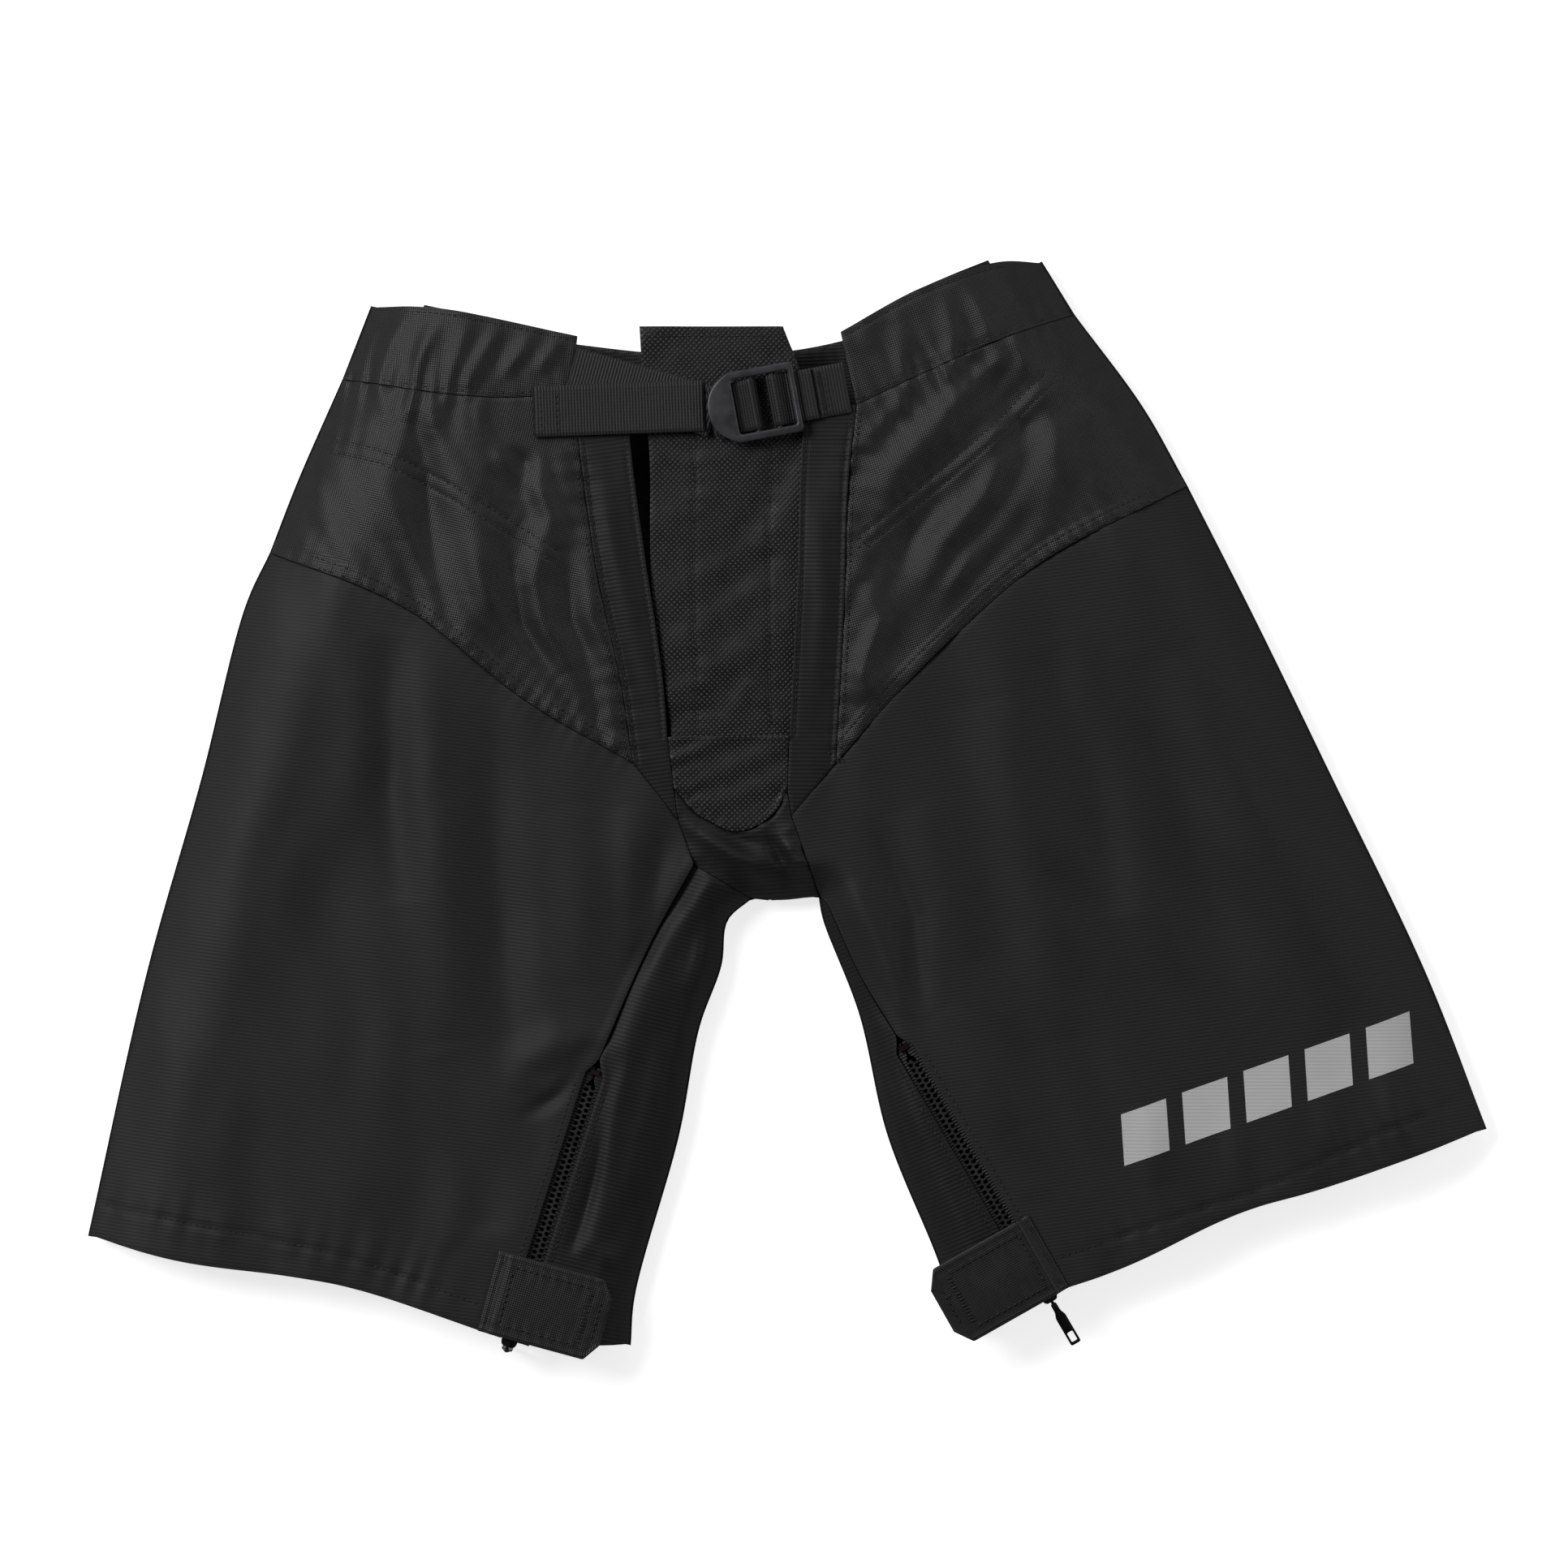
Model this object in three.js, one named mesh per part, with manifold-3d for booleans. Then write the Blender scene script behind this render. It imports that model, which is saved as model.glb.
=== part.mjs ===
// Outer shell of a pair of ice hockey pants, lying on its back with the front up.
// Millimetres. +X runs to the wearer's left, +Y to the waist, +Z out of the front.
// The origin is the middle of the bottom of the bounding box. Right and left are the wearer's.
import * as THREE from "three";
import { mergeVertices } from "three/addons/utils/BufferGeometryUtils.js";
import Module from "manifold-3d";

const wasm = await Module();
wasm.setup();

// ---------- driving dimensions ----------
const OVERALL_WIDTH = 692; // across the spread hems
const OVERALL_LENGTH = 538; // along Y, waist to hem
const LEG_LOFT = 26; // how high the front of a leg stands over the floor
const HIP_LOFT = 36; // the same at the waist
const SEAM_HEIGHT = 9; // height of the side and inner seams
const FRONT_ROUND = 20; // how far in from a seam the front is rounded
const BACK_ROUND = 16; // the same on the back
const CLOTH = 1.6; // a made-up panel, with its turnings
const SEAM_GAP = 0.6; // between neighbouring panels
const AIR = 0.3; // between pieces that lie on each other

const BAND_ELASTIC = 1.2; // thickness of the waist elastic
const FACING = 1.0; // thickness of the waistband facings
const LINING_INSET = 27; // how far the linings of the waistband stop inside the side seams
const TONGUE_THICKNESS = 1.2;
const TAPE_REINFORCE_WIDTH = 12;
const TAPE_REINFORCE_THICKNESS = 0.8;

const ZIP_OPENING = 10.4; // between the panel edges beside the teeth
const ZIP_TAPE_WIDTH = 7;
const ZIP_TAPE_DEPTH = 0.6; // below the underside of the panels
const ZIP_TAPE_THICKNESS = 0.9;
const TOOTH_PITCH = 2.9;
const TOOTH_REACH = 3.1; // from the middle of the chain to the back of a tooth
const TOOTH_THICKNESS = 2.6;
const SLIDER_LENGTH = 11;
const SLIDER_WIDTH = 8;
const SLIDER_OVERHANG = 3; // past the hem
const SLIDER_PLATE = 1.1;
const PULL_LENGTH = 22;
const PULL_WIDTH = 5.4;
const PULL_THICKNESS = 1.2;

const TAB_LENGTH = 60;
const TAB_WIDTH = 41;
const TAB_THICKNESS = 1.5;
const TAB_SEWN = 4; // the strip that is sewn to the leg
const TAB_CORNER = 9; // chamfer at the free end
const TAPE_HEIGHT = 0.9; // hook tape and loop tape

const WEB_WIDTH = 25;
const WEB_THICKNESS = 1.4;
const BUCKLE_LENGTH = 45;
const BUCKLE_WIDTH = 35;
const BUCKLE_PLATE = 3.3;
const BUCKLE_WINDOW_LENGTH = 28.5;
const BUCKLE_BAR_RADIUS = 1.3;
const BUCKLE_END_RAIL = 2.9;

// ---------- plan of the pattern pieces ----------
// The plan was drawn 692 wide and 538 long; it stretches with the overall sizes.
const DRAWN_WIDTH = 692;
const DRAWN_LENGTH = 538;
const DEGREE = Math.PI / 180;

function plan(x, y) {
  return new THREE.Vector3((x * OVERALL_WIDTH) / DRAWN_WIDTH, (y * OVERALL_LENGTH) / DRAWN_LENGTH, 0);
}

// Corner points that several panels share.
const hemSideR = [-346, -213];
const hemSideL = [346, -160];
const yokeSideR = [-256, 125];
const yokeSideL = [198, 158];
const bandSideR = [-220, 211];
const bandSideL = [142, 243];
const waistSideR = [-206, 247];
const waistSideL = [126, 269];
const hemInnerR = [-78, -267];
const hemInnerL = [86, -259];
const flyFootR = [-54, -7];
const flyFootL = [2, -5];
const flyOuterFootR = [-76, 21];
const flyOuterFootL = [24, 21];
const pocketFootR = [-56, 9];
const pocketFootL = [0, 8];
const pocketHeadR = [-59, 34];
const pocketHeadL = [1, 35];
const crotchR = [-18, -46];
const crotchL = [16, -45];
const thighHeadR = [-46, -29];
const thighHeadL = [20, -49];
const seatMiddle = [-25, 30];
const seatCrotch = [-9, -47];
const backWaistMiddle = [-34, 190];

const zipHemR = plan(-137, -264);
const zipHeadR = plan(-94, -129);
const zipHemL = plan(129, -242);
const zipHeadL = plan(56, -117);

// A seam: a smooth line through a few points, as count + 1 evenly spaced points.
function seam(count, ...points) {
  return smooth(points.map((p) => (p.isVector3 ? p : plan(...p)))).getSpacedPoints(count);
}

// Seams end to end. Each starts where the one before it stops.
function chain(...lines) {
  return lines.reduce((all, line) => [...all, ...line.slice(1)]);
}

function back(line) {
  return [...line].reverse();
}

// A row of points in plan, shifted sideways.
function shifted(points, dx, dy = 0) {
  return points.map(([x, y]) => [x + dx, y + dy]);
}

// The edge of a panel beside a zip: parallel to the chain, half the opening away on one side,
// and closed over the head of the zip.
const ZIP_ROWS = 7;
function besideZip(hem, head, side) {
  const along = new THREE.Vector3().subVectors(head, hem).normalize();
  const across = new THREE.Vector3(-along.y, along.x, 0).multiplyScalar((side * ZIP_OPENING) / 2);
  const low = hem.clone().add(across);
  const high = head.clone().add(across);
  return [...seam(ZIP_ROWS, low, high), head.clone().addScaledVector(along, ZIP_OPENING)];
}

const sidePointsLegR = [hemSideR, [-317, -83], [-290, 13], [-268, 99], yokeSideR];
const sidePointsLegL = [hemSideL, [316, -83], [268, 17], [231, 93], yokeSideL];
const sideYokeR = seam(12, yokeSideR, [-242, 161], bandSideR);
const sideYokeL = seam(12, yokeSideL, [176, 197], bandSideL);
const sideBandR = seam(3, bandSideR, waistSideR);
const sideBandL = seam(3, bandSideL, waistSideL);
const innerR = seam(12, hemInnerR, [-76, -243], [-54, -163], [-44, -110], [-33, -79], [-30, -57], crotchR);
const innerL = seam(12, hemInnerL, [75, -225], [50, -163], [36, -103], [18, -56], crotchL);
const crotch = seam(8, crotchR, [-3, -47], crotchL);

const yokeSeamR = seam(10, yokeSideR, [-188, 97], [-128, 51], flyOuterFootR);
const yokeSeamL = seam(10, flyOuterFootL, [52, 53], [84, 85], [124, 119], yokeSideL);
const flyFootSeamR = seam(2, flyOuterFootR, flyFootR);
const flyFootSeamL = seam(2, flyFootL, flyOuterFootL);
const flyOuterR = seam(12, flyOuterFootR, [-82, 61], [-94, 117], [-102, 173], [-106, 205]);
const flyOuterL = seam(12, flyOuterFootL, [28, 97], [30, 157], [34, 197]);
const gussetTipR = seam(1, flyFootR, pocketFootR);
const gussetTipL = seam(1, flyFootL, pocketFootL);
const pocketSideR = seam(3, pocketFootR, pocketHeadR);
const pocketSideL = seam(3, pocketFootL, pocketHeadL);
const flyInnerR = seam(8, pocketHeadR, [-64, 57], [-72, 117], [-78, 181], [-79, 205]);
const flyInnerL = seam(8, pocketHeadL, [5, 117], [6, 157], [8, 197]);
const pocketSeam = seam(8, pocketFootR, [-46, -3], [-36, -9], [-26, -13], [-15, -10], [-6, -3], pocketFootL);
const bandSeamR = seam(10, bandSideR, [-164, 202], [-128, 201], [-106, 205]);
const bandSeamL = seam(10, [34, 197], [72, 215], [104, 229], bandSideL);
const waistEdgeR = seam(10, waistSideR, [-172, 245], [-103, 231]);
const waistEdgeL = seam(10, [26, 233], [64, 254], [104, 268], waistSideL);
const gussetSideR = seam(2, thighHeadR, flyFootR);
const gussetSideL = seam(6, crotchL, [9, -25], flyFootL);
const thighTopR = seam(4, thighHeadR, crotchR);

// ---------- height of the cloth ----------
const silhouette = [
  chain(seam(24, ...sidePointsLegR), sideYokeR, sideBandR),
  chain(seam(24, ...sidePointsLegL), sideYokeL, sideBandL),
  chain(innerR, crotch),
  innerL,
];

function smooth(points) {
  return new THREE.CatmullRomCurve3(points, false, "centripetal");
}

function distanceToSegment(x, y, a, b) {
  const dx = b.x - a.x;
  const dy = b.y - a.y;
  const t = THREE.MathUtils.clamp(((x - a.x) * dx + (y - a.y) * dy) / (dx * dx + dy * dy), 0, 1);
  return Math.hypot(x - a.x - t * dx, y - a.y - t * dy);
}

function distanceToSeam(x, y) {
  let least = Infinity;
  for (const line of silhouette)
    for (let i = 1; i < line.length; i++)
      least = Math.min(least, distanceToSegment(x, y, line[i - 1], line[i]));
  return least;
}

// 0 on a seam, 1 from `reach` inwards, with the curve of a rounded edge.
function rounded(distance, reach) {
  const rest = Math.max(0, 1 - distance / reach);
  return 1 - rest * rest;
}

const LOFT_RISE_START = -100; // the loft grows from here to LOFT_RISE_END
const LOFT_RISE_END = 130;

function frontTop(x, y) {
  const rise = THREE.MathUtils.smoothstep(y, plan(0, LOFT_RISE_START).y, plan(0, LOFT_RISE_END).y);
  const loft = LEG_LOFT + (HIP_LOFT - LEG_LOFT) * rise;
  const seam = SEAM_HEIGHT + AIR / 2 + CLOTH;
  return seam + (loft - seam) * rounded(distanceToSeam(x, y), FRONT_ROUND);
}

function backBottom(x, y) {
  const seam = SEAM_HEIGHT - AIR / 2 - CLOTH;
  return seam * (1 - rounded(distanceToSeam(x, y), BACK_ROUND));
}

// A layer is a pair of heights over the plan: underside and top.
function frontLayer(depth, thickness) {
  return [(x, y) => frontTop(x, y) - depth - thickness, (x, y) => frontTop(x, y) - depth];
}

function backLayer(height, thickness) {
  return [(x, y) => backBottom(x, y) + height, (x, y) => backBottom(x, y) + height + thickness];
}

// ---------- geometry helpers ----------
function solid(geometry) {
  const bare = geometry.index ? geometry.toNonIndexed() : geometry.clone();
  const position = new THREE.BufferGeometry().setAttribute("position", bare.getAttribute("position"));
  const merged = mergeVertices(position, 1e-4);
  return new wasm.Manifold(
    new wasm.Mesh({
      numProp: 3,
      vertProperties: merged.attributes.position.array,
      triVerts: new Uint32Array(merged.index.array),
    }),
  );
}

function geometryOf(manifold) {
  const mesh = manifold.getMesh();
  const geometry = new THREE.BufferGeometry();
  geometry.setAttribute("position", new THREE.BufferAttribute(mesh.vertProperties, 3));
  geometry.setIndex(new THREE.BufferAttribute(mesh.triVerts, 1));
  geometry.computeVertexNormals();
  return geometry;
}

function joined(...geometries) {
  return geometryOf(geometries.map(solid).reduce((a, b) => a.add(b)));
}

function cut(geometry, ...tools) {
  return geometryOf(tools.map(solid).reduce((a, b) => a.subtract(b), solid(geometry)));
}

// A closed sheet between four seams (bottom and top run the same way, and so do left and right).
// It is a Coons patch, pulled in by half a seam gap all round, between the two heights of a layer.
function panel(bottom, top, left, right, [under, over]) {
  const columns = bottom.length - 1;
  const rows = left.length - 1;
  const net = [];
  for (let j = 0; j <= rows; j++)
    for (let i = 0; i <= columns; i++) {
      const u = i / columns;
      const v = j / rows;
      const p = bottom[i].clone().multiplyScalar(1 - v).addScaledVector(top[i], v);
      p.addScaledVector(left[j], 1 - u).addScaledVector(right[j], u);
      p.addScaledVector(bottom[0], -(1 - u) * (1 - v)).addScaledVector(bottom[columns], -u * (1 - v));
      net.push(p.addScaledVector(top[0], -(1 - u) * v).addScaledVector(top[columns], -u * v));
    }
  const pulled = net.map((p, k) => {
    const i = k % (columns + 1);
    const j = Math.floor(k / (columns + 1));
    const moved = p.clone();
    const towards = (q) => moved.addScaledVector(q.clone().sub(p).normalize(), SEAM_GAP / 2);
    if (i === 0) towards(net[k + 1]);
    if (i === columns) towards(net[k - 1]);
    if (j === 0) towards(net[k + columns + 1]);
    if (j === rows) towards(net[k - columns - 1]);
    return moved;
  });
  const positions = [under, over].flatMap((height) => pulled.flatMap((p) => [p.x, p.y, height(p.x, p.y)]));
  return closedSheet(positions, columns, rows);
}

// Joins two grids of (columns + 1) by (rows + 1) points, underside first, into a closed sheet.
function closedSheet(positions, columns, rows) {
  const layer = (columns + 1) * (rows + 1);
  const index = [];
  const at = (i, j, level) => level * layer + j * (columns + 1) + i;
  const quad = (a, b, c, d) => index.push(a, b, c, a, c, d);
  for (let j = 0; j < rows; j++)
    for (let i = 0; i < columns; i++) {
      quad(at(i, j, 1), at(i + 1, j, 1), at(i + 1, j + 1, 1), at(i, j + 1, 1));
      quad(at(i, j, 0), at(i, j + 1, 0), at(i + 1, j + 1, 0), at(i + 1, j, 0));
    }
  for (let i = 0; i < columns; i++) {
    quad(at(i, 0, 0), at(i + 1, 0, 0), at(i + 1, 0, 1), at(i, 0, 1));
    quad(at(i, rows, 1), at(i + 1, rows, 1), at(i + 1, rows, 0), at(i, rows, 0));
  }
  for (let j = 0; j < rows; j++) {
    quad(at(0, j, 1), at(0, j + 1, 1), at(0, j + 1, 0), at(0, j, 0));
    quad(at(columns, j, 0), at(columns, j + 1, 0), at(columns, j + 1, 1), at(columns, j, 1));
  }
  const geometry = new THREE.BufferGeometry();
  geometry.setAttribute("position", new THREE.Float32BufferAttribute(positions, 3));
  geometry.setIndex(index);
  geometry.computeVertexNormals();
  return geometry;
}

function box(x0, x1, y0, y1, z0, z1) {
  const geometry = new THREE.BoxGeometry(x1 - x0, y1 - y0, z1 - z0);
  return geometry.translate((x0 + x1) / 2, (y0 + y1) / 2, (z0 + z1) / 2);
}

// A round bar along Y.
function barY(x, z, radius, halfLength, sides) {
  return new THREE.CylinderGeometry(radius, radius, 2 * halfLength, sides).translate(x, 0, z);
}

// An outline in X and Z, extruded along Y from -halfWidth to halfWidth.
function ribbon(points, halfWidth) {
  const outline = new THREE.Shape(points.map(([x, z]) => new THREE.Vector2(x, z)));
  const geometry = new THREE.ExtrudeGeometry(outline, { depth: 2 * halfWidth, bevelEnabled: false });
  return geometry.rotateX(Math.PI / 2).translate(0, halfWidth, 0);
}

// ---------- materials ----------
const finishes = {
  oxford: { color: 0x2b2b2c, roughness: 0.5, metalness: 0 },
  twill: { color: 0x232324, roughness: 0.8, metalness: 0 },
  stretch: { color: 0x222223, roughness: 0.75, metalness: 0 },
  mesh: { color: 0x1f1f20, roughness: 0.7, metalness: 0 },
  webbing: { color: 0x242425, roughness: 0.65, metalness: 0 },
  elastic: { color: 0x1c1c1d, roughness: 0.8, metalness: 0 },
  hook: { color: 0x1a1a1b, roughness: 0.85, metalness: 0 },
  acetal: { color: 0x1d1d1e, roughness: 0.4, metalness: 0 },
  enamel: { color: 0x161617, roughness: 0.25, metalness: 0.6 },
};

const shell = new THREE.Group();

function piece(name, geometry, finish, parent = shell) {
  const mesh = new THREE.Mesh(geometry, new THREE.MeshStandardMaterial(finishes[finish]));
  mesh.name = name;
  parent.add(mesh);
  return mesh;
}

// ---------- front ----------
const cloth = frontLayer(0, CLOTH);

function frontPanels() {
  const zipLegR = besideZip(zipHemR, zipHeadR, 1);
  const zipThighR = besideZip(zipHemR, zipHeadR, -1);
  const zipLegL = besideZip(zipHemL, zipHeadL, -1);
  const zipThighL = besideZip(zipHemL, zipHeadL, 1);
  const seamR = seam(4, zipLegR[ZIP_ROWS + 1], [-68, -69], thighHeadR);
  const seamL = seam(4, zipLegL[ZIP_ROWS + 1], [36, -84], thighHeadL);
  const headL = seam(1, thighHeadL, crotchL);
  const edgeLegR = chain(zipLegR, seamR, gussetSideR);
  const edgeLegL = chain(zipLegL, seamL, headL, gussetSideL);
  const sideLegR = seam(edgeLegR.length - 1, ...sidePointsLegR);
  const sideLegL = seam(edgeLegL.length - 1, ...sidePointsLegL);
  const hemLegR = seam(12, hemSideR, [-300, -225], [-220, -237], zipLegR[0]);
  const hemLegL = seam(12, zipLegL[0], [164, -229], [224, -201], [268, -188], hemSideL);
  const topLegR = chain(yokeSeamR, flyFootSeamR);
  const topLegL = chain(flyFootSeamL, yokeSeamL);
  piece("front_leg_right", panel(hemLegR, topLegR, sideLegR, edgeLegR, cloth), "twill");
  piece("front_leg_left", panel(hemLegL, topLegL, edgeLegL, sideLegL, cloth), "twill");
  const hemThighR = seam(4, zipThighR[0], hemInnerR);
  const hemThighL = seam(4, hemInnerL, zipThighL[0]);
  const edgeThighR = chain(zipThighR, seamR);
  const edgeThighL = chain(zipThighL, seamL);
  const topThighL = seam(4, crotchL, thighHeadL);
  piece("inner_thigh_right", panel(hemThighR, thighTopR, edgeThighR, innerR, cloth), "stretch");
  piece("inner_thigh_left", panel(hemThighL, topThighL, innerL, edgeThighL, cloth), "stretch");
}

function frontYokes() {
  piece("front_yoke_right", panel(yokeSeamR, bandSeamR, sideYokeR, flyOuterR, cloth), "oxford");
  piece("front_yoke_left", panel(yokeSeamL, bandSeamL, flyOuterL, sideYokeL, cloth), "oxford");
}

function flyAndGusset() {
  const headR = seam(2, [-106, 205], [-79, 205]);
  const headL = seam(2, [8, 197], [34, 197]);
  const edgeR = chain(gussetTipR, pocketSideR, flyInnerR);
  const edgeL = chain(gussetTipL, pocketSideL, flyInnerL);
  piece("fly_strip_right", panel(flyFootSeamR, headR, flyOuterR, edgeR, cloth), "stretch");
  piece("fly_strip_left", panel(flyFootSeamL, headL, edgeL, flyOuterL, cloth), "stretch");
  const pocketHead = seam(8, pocketHeadR, pocketHeadL);
  piece("tongue_pocket", panel(pocketSeam, pocketHead, pocketSideR, pocketSideL, cloth), "mesh");
  const sideR = chain(back(thighTopR), gussetSideR, gussetTipR);
  const sideL = chain(gussetSideL, gussetTipL);
  piece("crotch_gusset", panel(crotch, pocketSeam, sideR, sideL, cloth), "stretch");
}

// The tongue lies under the fly strips and shows between them, and stands above the belt.
function tongue() {
  const under = frontLayer(CLOTH + AIR, TONGUE_THICKNESS);
  const foot = seam(6, [-57, 30], [4, 31]);
  const head = seam(6, [-73, 236], [-2, 236]);
  const sideR = seam(12, [-57, 30], [-60, 57], [-67, 110], [-68, 173], [-71, 205], [-73, 236]);
  const sideL = seam(12, [4, 31], [12, 80], [13, 150], [9, 205], [-2, 236]);
  piece("fly_tongue", panel(foot, head, sideR, sideL, under), "mesh");
}

// The facings line the front waistband, and stop short of the side seams.
function frontWaistband() {
  const under = frontLayer(CLOTH + AIR, FACING);
  const endR = seam(3, [-106, 205], [-103, 231]);
  const endL = seam(3, [34, 197], [26, 233]);
  piece("front_waistband_right", panel(bandSeamR, waistEdgeR, sideBandR, endR, cloth), "oxford");
  piece("front_waistband_left", panel(bandSeamL, waistEdgeL, endL, sideBandL, cloth), "oxford");
  const [lowR, highR] = shifted([bandSideR, waistSideR], LINING_INSET);
  const [lowL, highL] = shifted([bandSideL, waistSideL], -LINING_INSET);
  const seamR = seam(6, lowR, [-164, 202], [-128, 201], [-106, 205]);
  const seamL = seam(6, [34, 197], [72, 215], [104, 229], lowL);
  const edgeR = seam(6, highR, [-140, 238], [-103, 231]);
  const edgeL = seam(6, [26, 233], [64, 254], highL);
  const facingR = panel(seamR, edgeR, seam(3, lowR, highR), endR, under);
  const facingL = panel(seamL, edgeL, endL, seam(3, lowL, highL), under);
  piece("waistband_facing_right", facingR, "elastic");
  piece("waistband_facing_left", facingL, "elastic");
}

// Stiffening tapes sewn inside the yokes, along the slanting double rows of stitches.
function reinforcementTapes() {
  const layer = frontLayer(CLOTH + AIR, TAPE_REINFORCE_THICKNESS);
  const middles = {
    right: [[-202, 174], [-182, 168], [-158, 151], [-112, 124]],
    left: [[36, 132], [88, 172], [118, 199]],
  };
  for (const [side, points] of Object.entries(middles)) {
    const low = seam(8, ...shifted(points, 0, -TAPE_REINFORCE_WIDTH / 2));
    const high = seam(8, ...shifted(points, 0, TAPE_REINFORCE_WIDTH / 2));
    const tape = panel(low, high, seam(1, low[0], high[0]), seam(1, low[8], high[8]), layer);
    piece("yoke_tape_" + side, tape, "elastic");
  }
}

// ---------- back ----------
const bandSeamBackR = [bandSideR, [-110, 196], backWaistMiddle];
const bandSeamBackL = [backWaistMiddle, [46, 199], bandSideL];

function backPanels() {
  const skin = backLayer(0, CLOTH);
  const hemR = seam(10, hemSideR, [-300, -222], [-220, -235], [-145, -256], hemInnerR);
  const hemL = seam(10, hemInnerL, [140, -236], [224, -200], [268, -186], hemSideL);
  const seatSeamR = seam(10, yokeSideR, [-150, 72], seatMiddle);
  const seatSeamL = seam(10, seatMiddle, [70, 80], yokeSideL);
  const centreLeg = seam(3, seatCrotch, [-16, -10], seatMiddle);
  const edgeR = chain(innerR, seam(1, crotchR, seatCrotch), centreLeg);
  const edgeL = chain(innerL, seam(1, crotchL, seatCrotch), centreLeg);
  const sideR = seam(edgeR.length - 1, ...sidePointsLegR);
  const sideL = seam(edgeL.length - 1, ...sidePointsLegL);
  const centreSeat = seam(12, seatMiddle, [-32, 110], backWaistMiddle);
  const bandR = seam(10, ...bandSeamBackR);
  const bandL = seam(10, ...bandSeamBackL);
  piece("back_leg_right", panel(hemR, seatSeamR, sideR, edgeR, skin), "twill");
  piece("back_leg_left", panel(hemL, seatSeamL, edgeL, sideL, skin), "twill");
  piece("seat_right", panel(seatSeamR, bandR, sideYokeR, centreSeat, skin), "oxford");
  piece("seat_left", panel(seatSeamL, bandL, centreSeat, sideYokeL, skin), "oxford");
}

// The back waistband is a casing of two layers with a wide elastic between them.
function backWaistband() {
  const seamLine = chain(seam(10, ...bandSeamBackR), seam(10, ...bandSeamBackL));
  const edge = seam(20, waistSideR, [-100, 228], [-30, 223], [30, 231], waistSideL);
  const outer = panel(seamLine, edge, sideBandR, sideBandL, backLayer(0, CLOTH));
  piece("back_waistband_outer", outer, "oxford");
  const [lowR, highR] = shifted([bandSideR, waistSideR], LINING_INSET);
  const [lowL, highL] = shifted([bandSideL, waistSideL], -LINING_INSET);
  const lowLine = seam(16, lowR, [-110, 198], [-34, 192], [46, 201], lowL);
  const highLine = seam(16, highR, [-100, 227], [-30, 222], [30, 230], highL);
  const inner = [
    ["waist_elastic", CLOTH + AIR, BAND_ELASTIC],
    ["back_waistband_inner", CLOTH + BAND_ELASTIC + 2 * AIR, FACING],
  ];
  for (const [name, height, thickness] of inner) {
    const layer = backLayer(height, thickness);
    piece(name, panel(lowLine, highLine, seam(2, lowR, highR), seam(2, lowL, highL), layer), "elastic");
  }
}

// ---------- hem zips ----------
const CHAIN_HEIGHT = LEG_LOFT - CLOTH - ZIP_TAPE_DEPTH - ZIP_TAPE_THICKNESS / 2;
const SLIDER_TOP = CHAIN_HEIGHT + TOOTH_THICKNESS / 2 + AIR + SLIDER_PLATE;
const PULL_AXIS_X = -SLIDER_OVERHANG - 1.7;
const PULL_AXIS_Z = SLIDER_TOP + 0.9;
const PULL_EYE = 1.0; // radius of the eye round the pull's pin
const PULL_PIN = 0.5;

// One row of moulded teeth. Its heads point to +Y; the other row is turned round.
function toothRow(length, offset) {
  const neck = 0.9; // half length of a tooth
  const head = 0.3; // how far a head passes the middle of the chain
  const spine = TOOTH_REACH - 0.8;
  const points = [[0, -TOOTH_REACH]];
  const count = Math.floor((length - 2 * TOOTH_PITCH) / TOOTH_PITCH);
  const end = (count + 1) * TOOTH_PITCH;
  points.push([end, -TOOTH_REACH], [end, -spine]);
  for (let k = count; k >= 1; k--) {
    const middle = k * TOOTH_PITCH - offset;
    points.push([middle + neck, -spine], [middle + neck * 0.55, head]);
    points.push([middle - neck * 0.55, head], [middle - neck, -spine]);
  }
  points.push([0, -spine]);
  const outline = new THREE.Shape(points.map(([x, y]) => new THREE.Vector2(x, y)));
  const geometry = new THREE.ExtrudeGeometry(outline, { depth: TOOTH_THICKNESS, bevelEnabled: false });
  return geometry.translate(0, 0, CHAIN_HEIGHT - TOOTH_THICKNESS / 2);
}

function sliderBody() {
  const half = SLIDER_WIDTH / 2;
  const x0 = -SLIDER_OVERHANG;
  const x1 = SLIDER_LENGTH - SLIDER_OVERHANG;
  const plate = new THREE.Shape();
  plate.moveTo(x0, -half * 0.55);
  plate.quadraticCurveTo(x0 + 0.6, -half, x0 + 3, -half);
  plate.lineTo(x1 - 1.2, -half * 0.72);
  plate.quadraticCurveTo(x1, -half * 0.6, x1, 0);
  plate.quadraticCurveTo(x1, half * 0.6, x1 - 1.2, half * 0.72);
  plate.lineTo(x0 + 3, half);
  plate.quadraticCurveTo(x0 + 0.6, half, x0, half * 0.55);
  const sheet = { depth: SLIDER_PLATE, bevelEnabled: false, curveSegments: 4 };
  const top = new THREE.ExtrudeGeometry(plate, sheet).translate(0, 0, SLIDER_TOP - SLIDER_PLATE);
  const low = CHAIN_HEIGHT - TOOTH_THICKNESS / 2 - AIR - SLIDER_PLATE;
  const bottom = new THREE.ExtrudeGeometry(plate, sheet).translate(0, 0, low);
  const post = box(x0 + 0.3, x0 + 2.4, -1.2, 1.2, low + 0.2, SLIDER_TOP - 0.2);
  const bail = box(PULL_AXIS_X, x1 - 3.5, -0.8, 0.8, SLIDER_TOP - 0.3, PULL_AXIS_Z + 0.7);
  const lug = barY(PULL_AXIS_X, PULL_AXIS_Z, PULL_EYE, 0.8, 14);
  const eye = barY(PULL_AXIS_X, PULL_AXIS_Z, PULL_PIN + 0.2, 2, 12);
  return cut(joined(top, bottom, post, bail, lug), eye);
}

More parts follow.
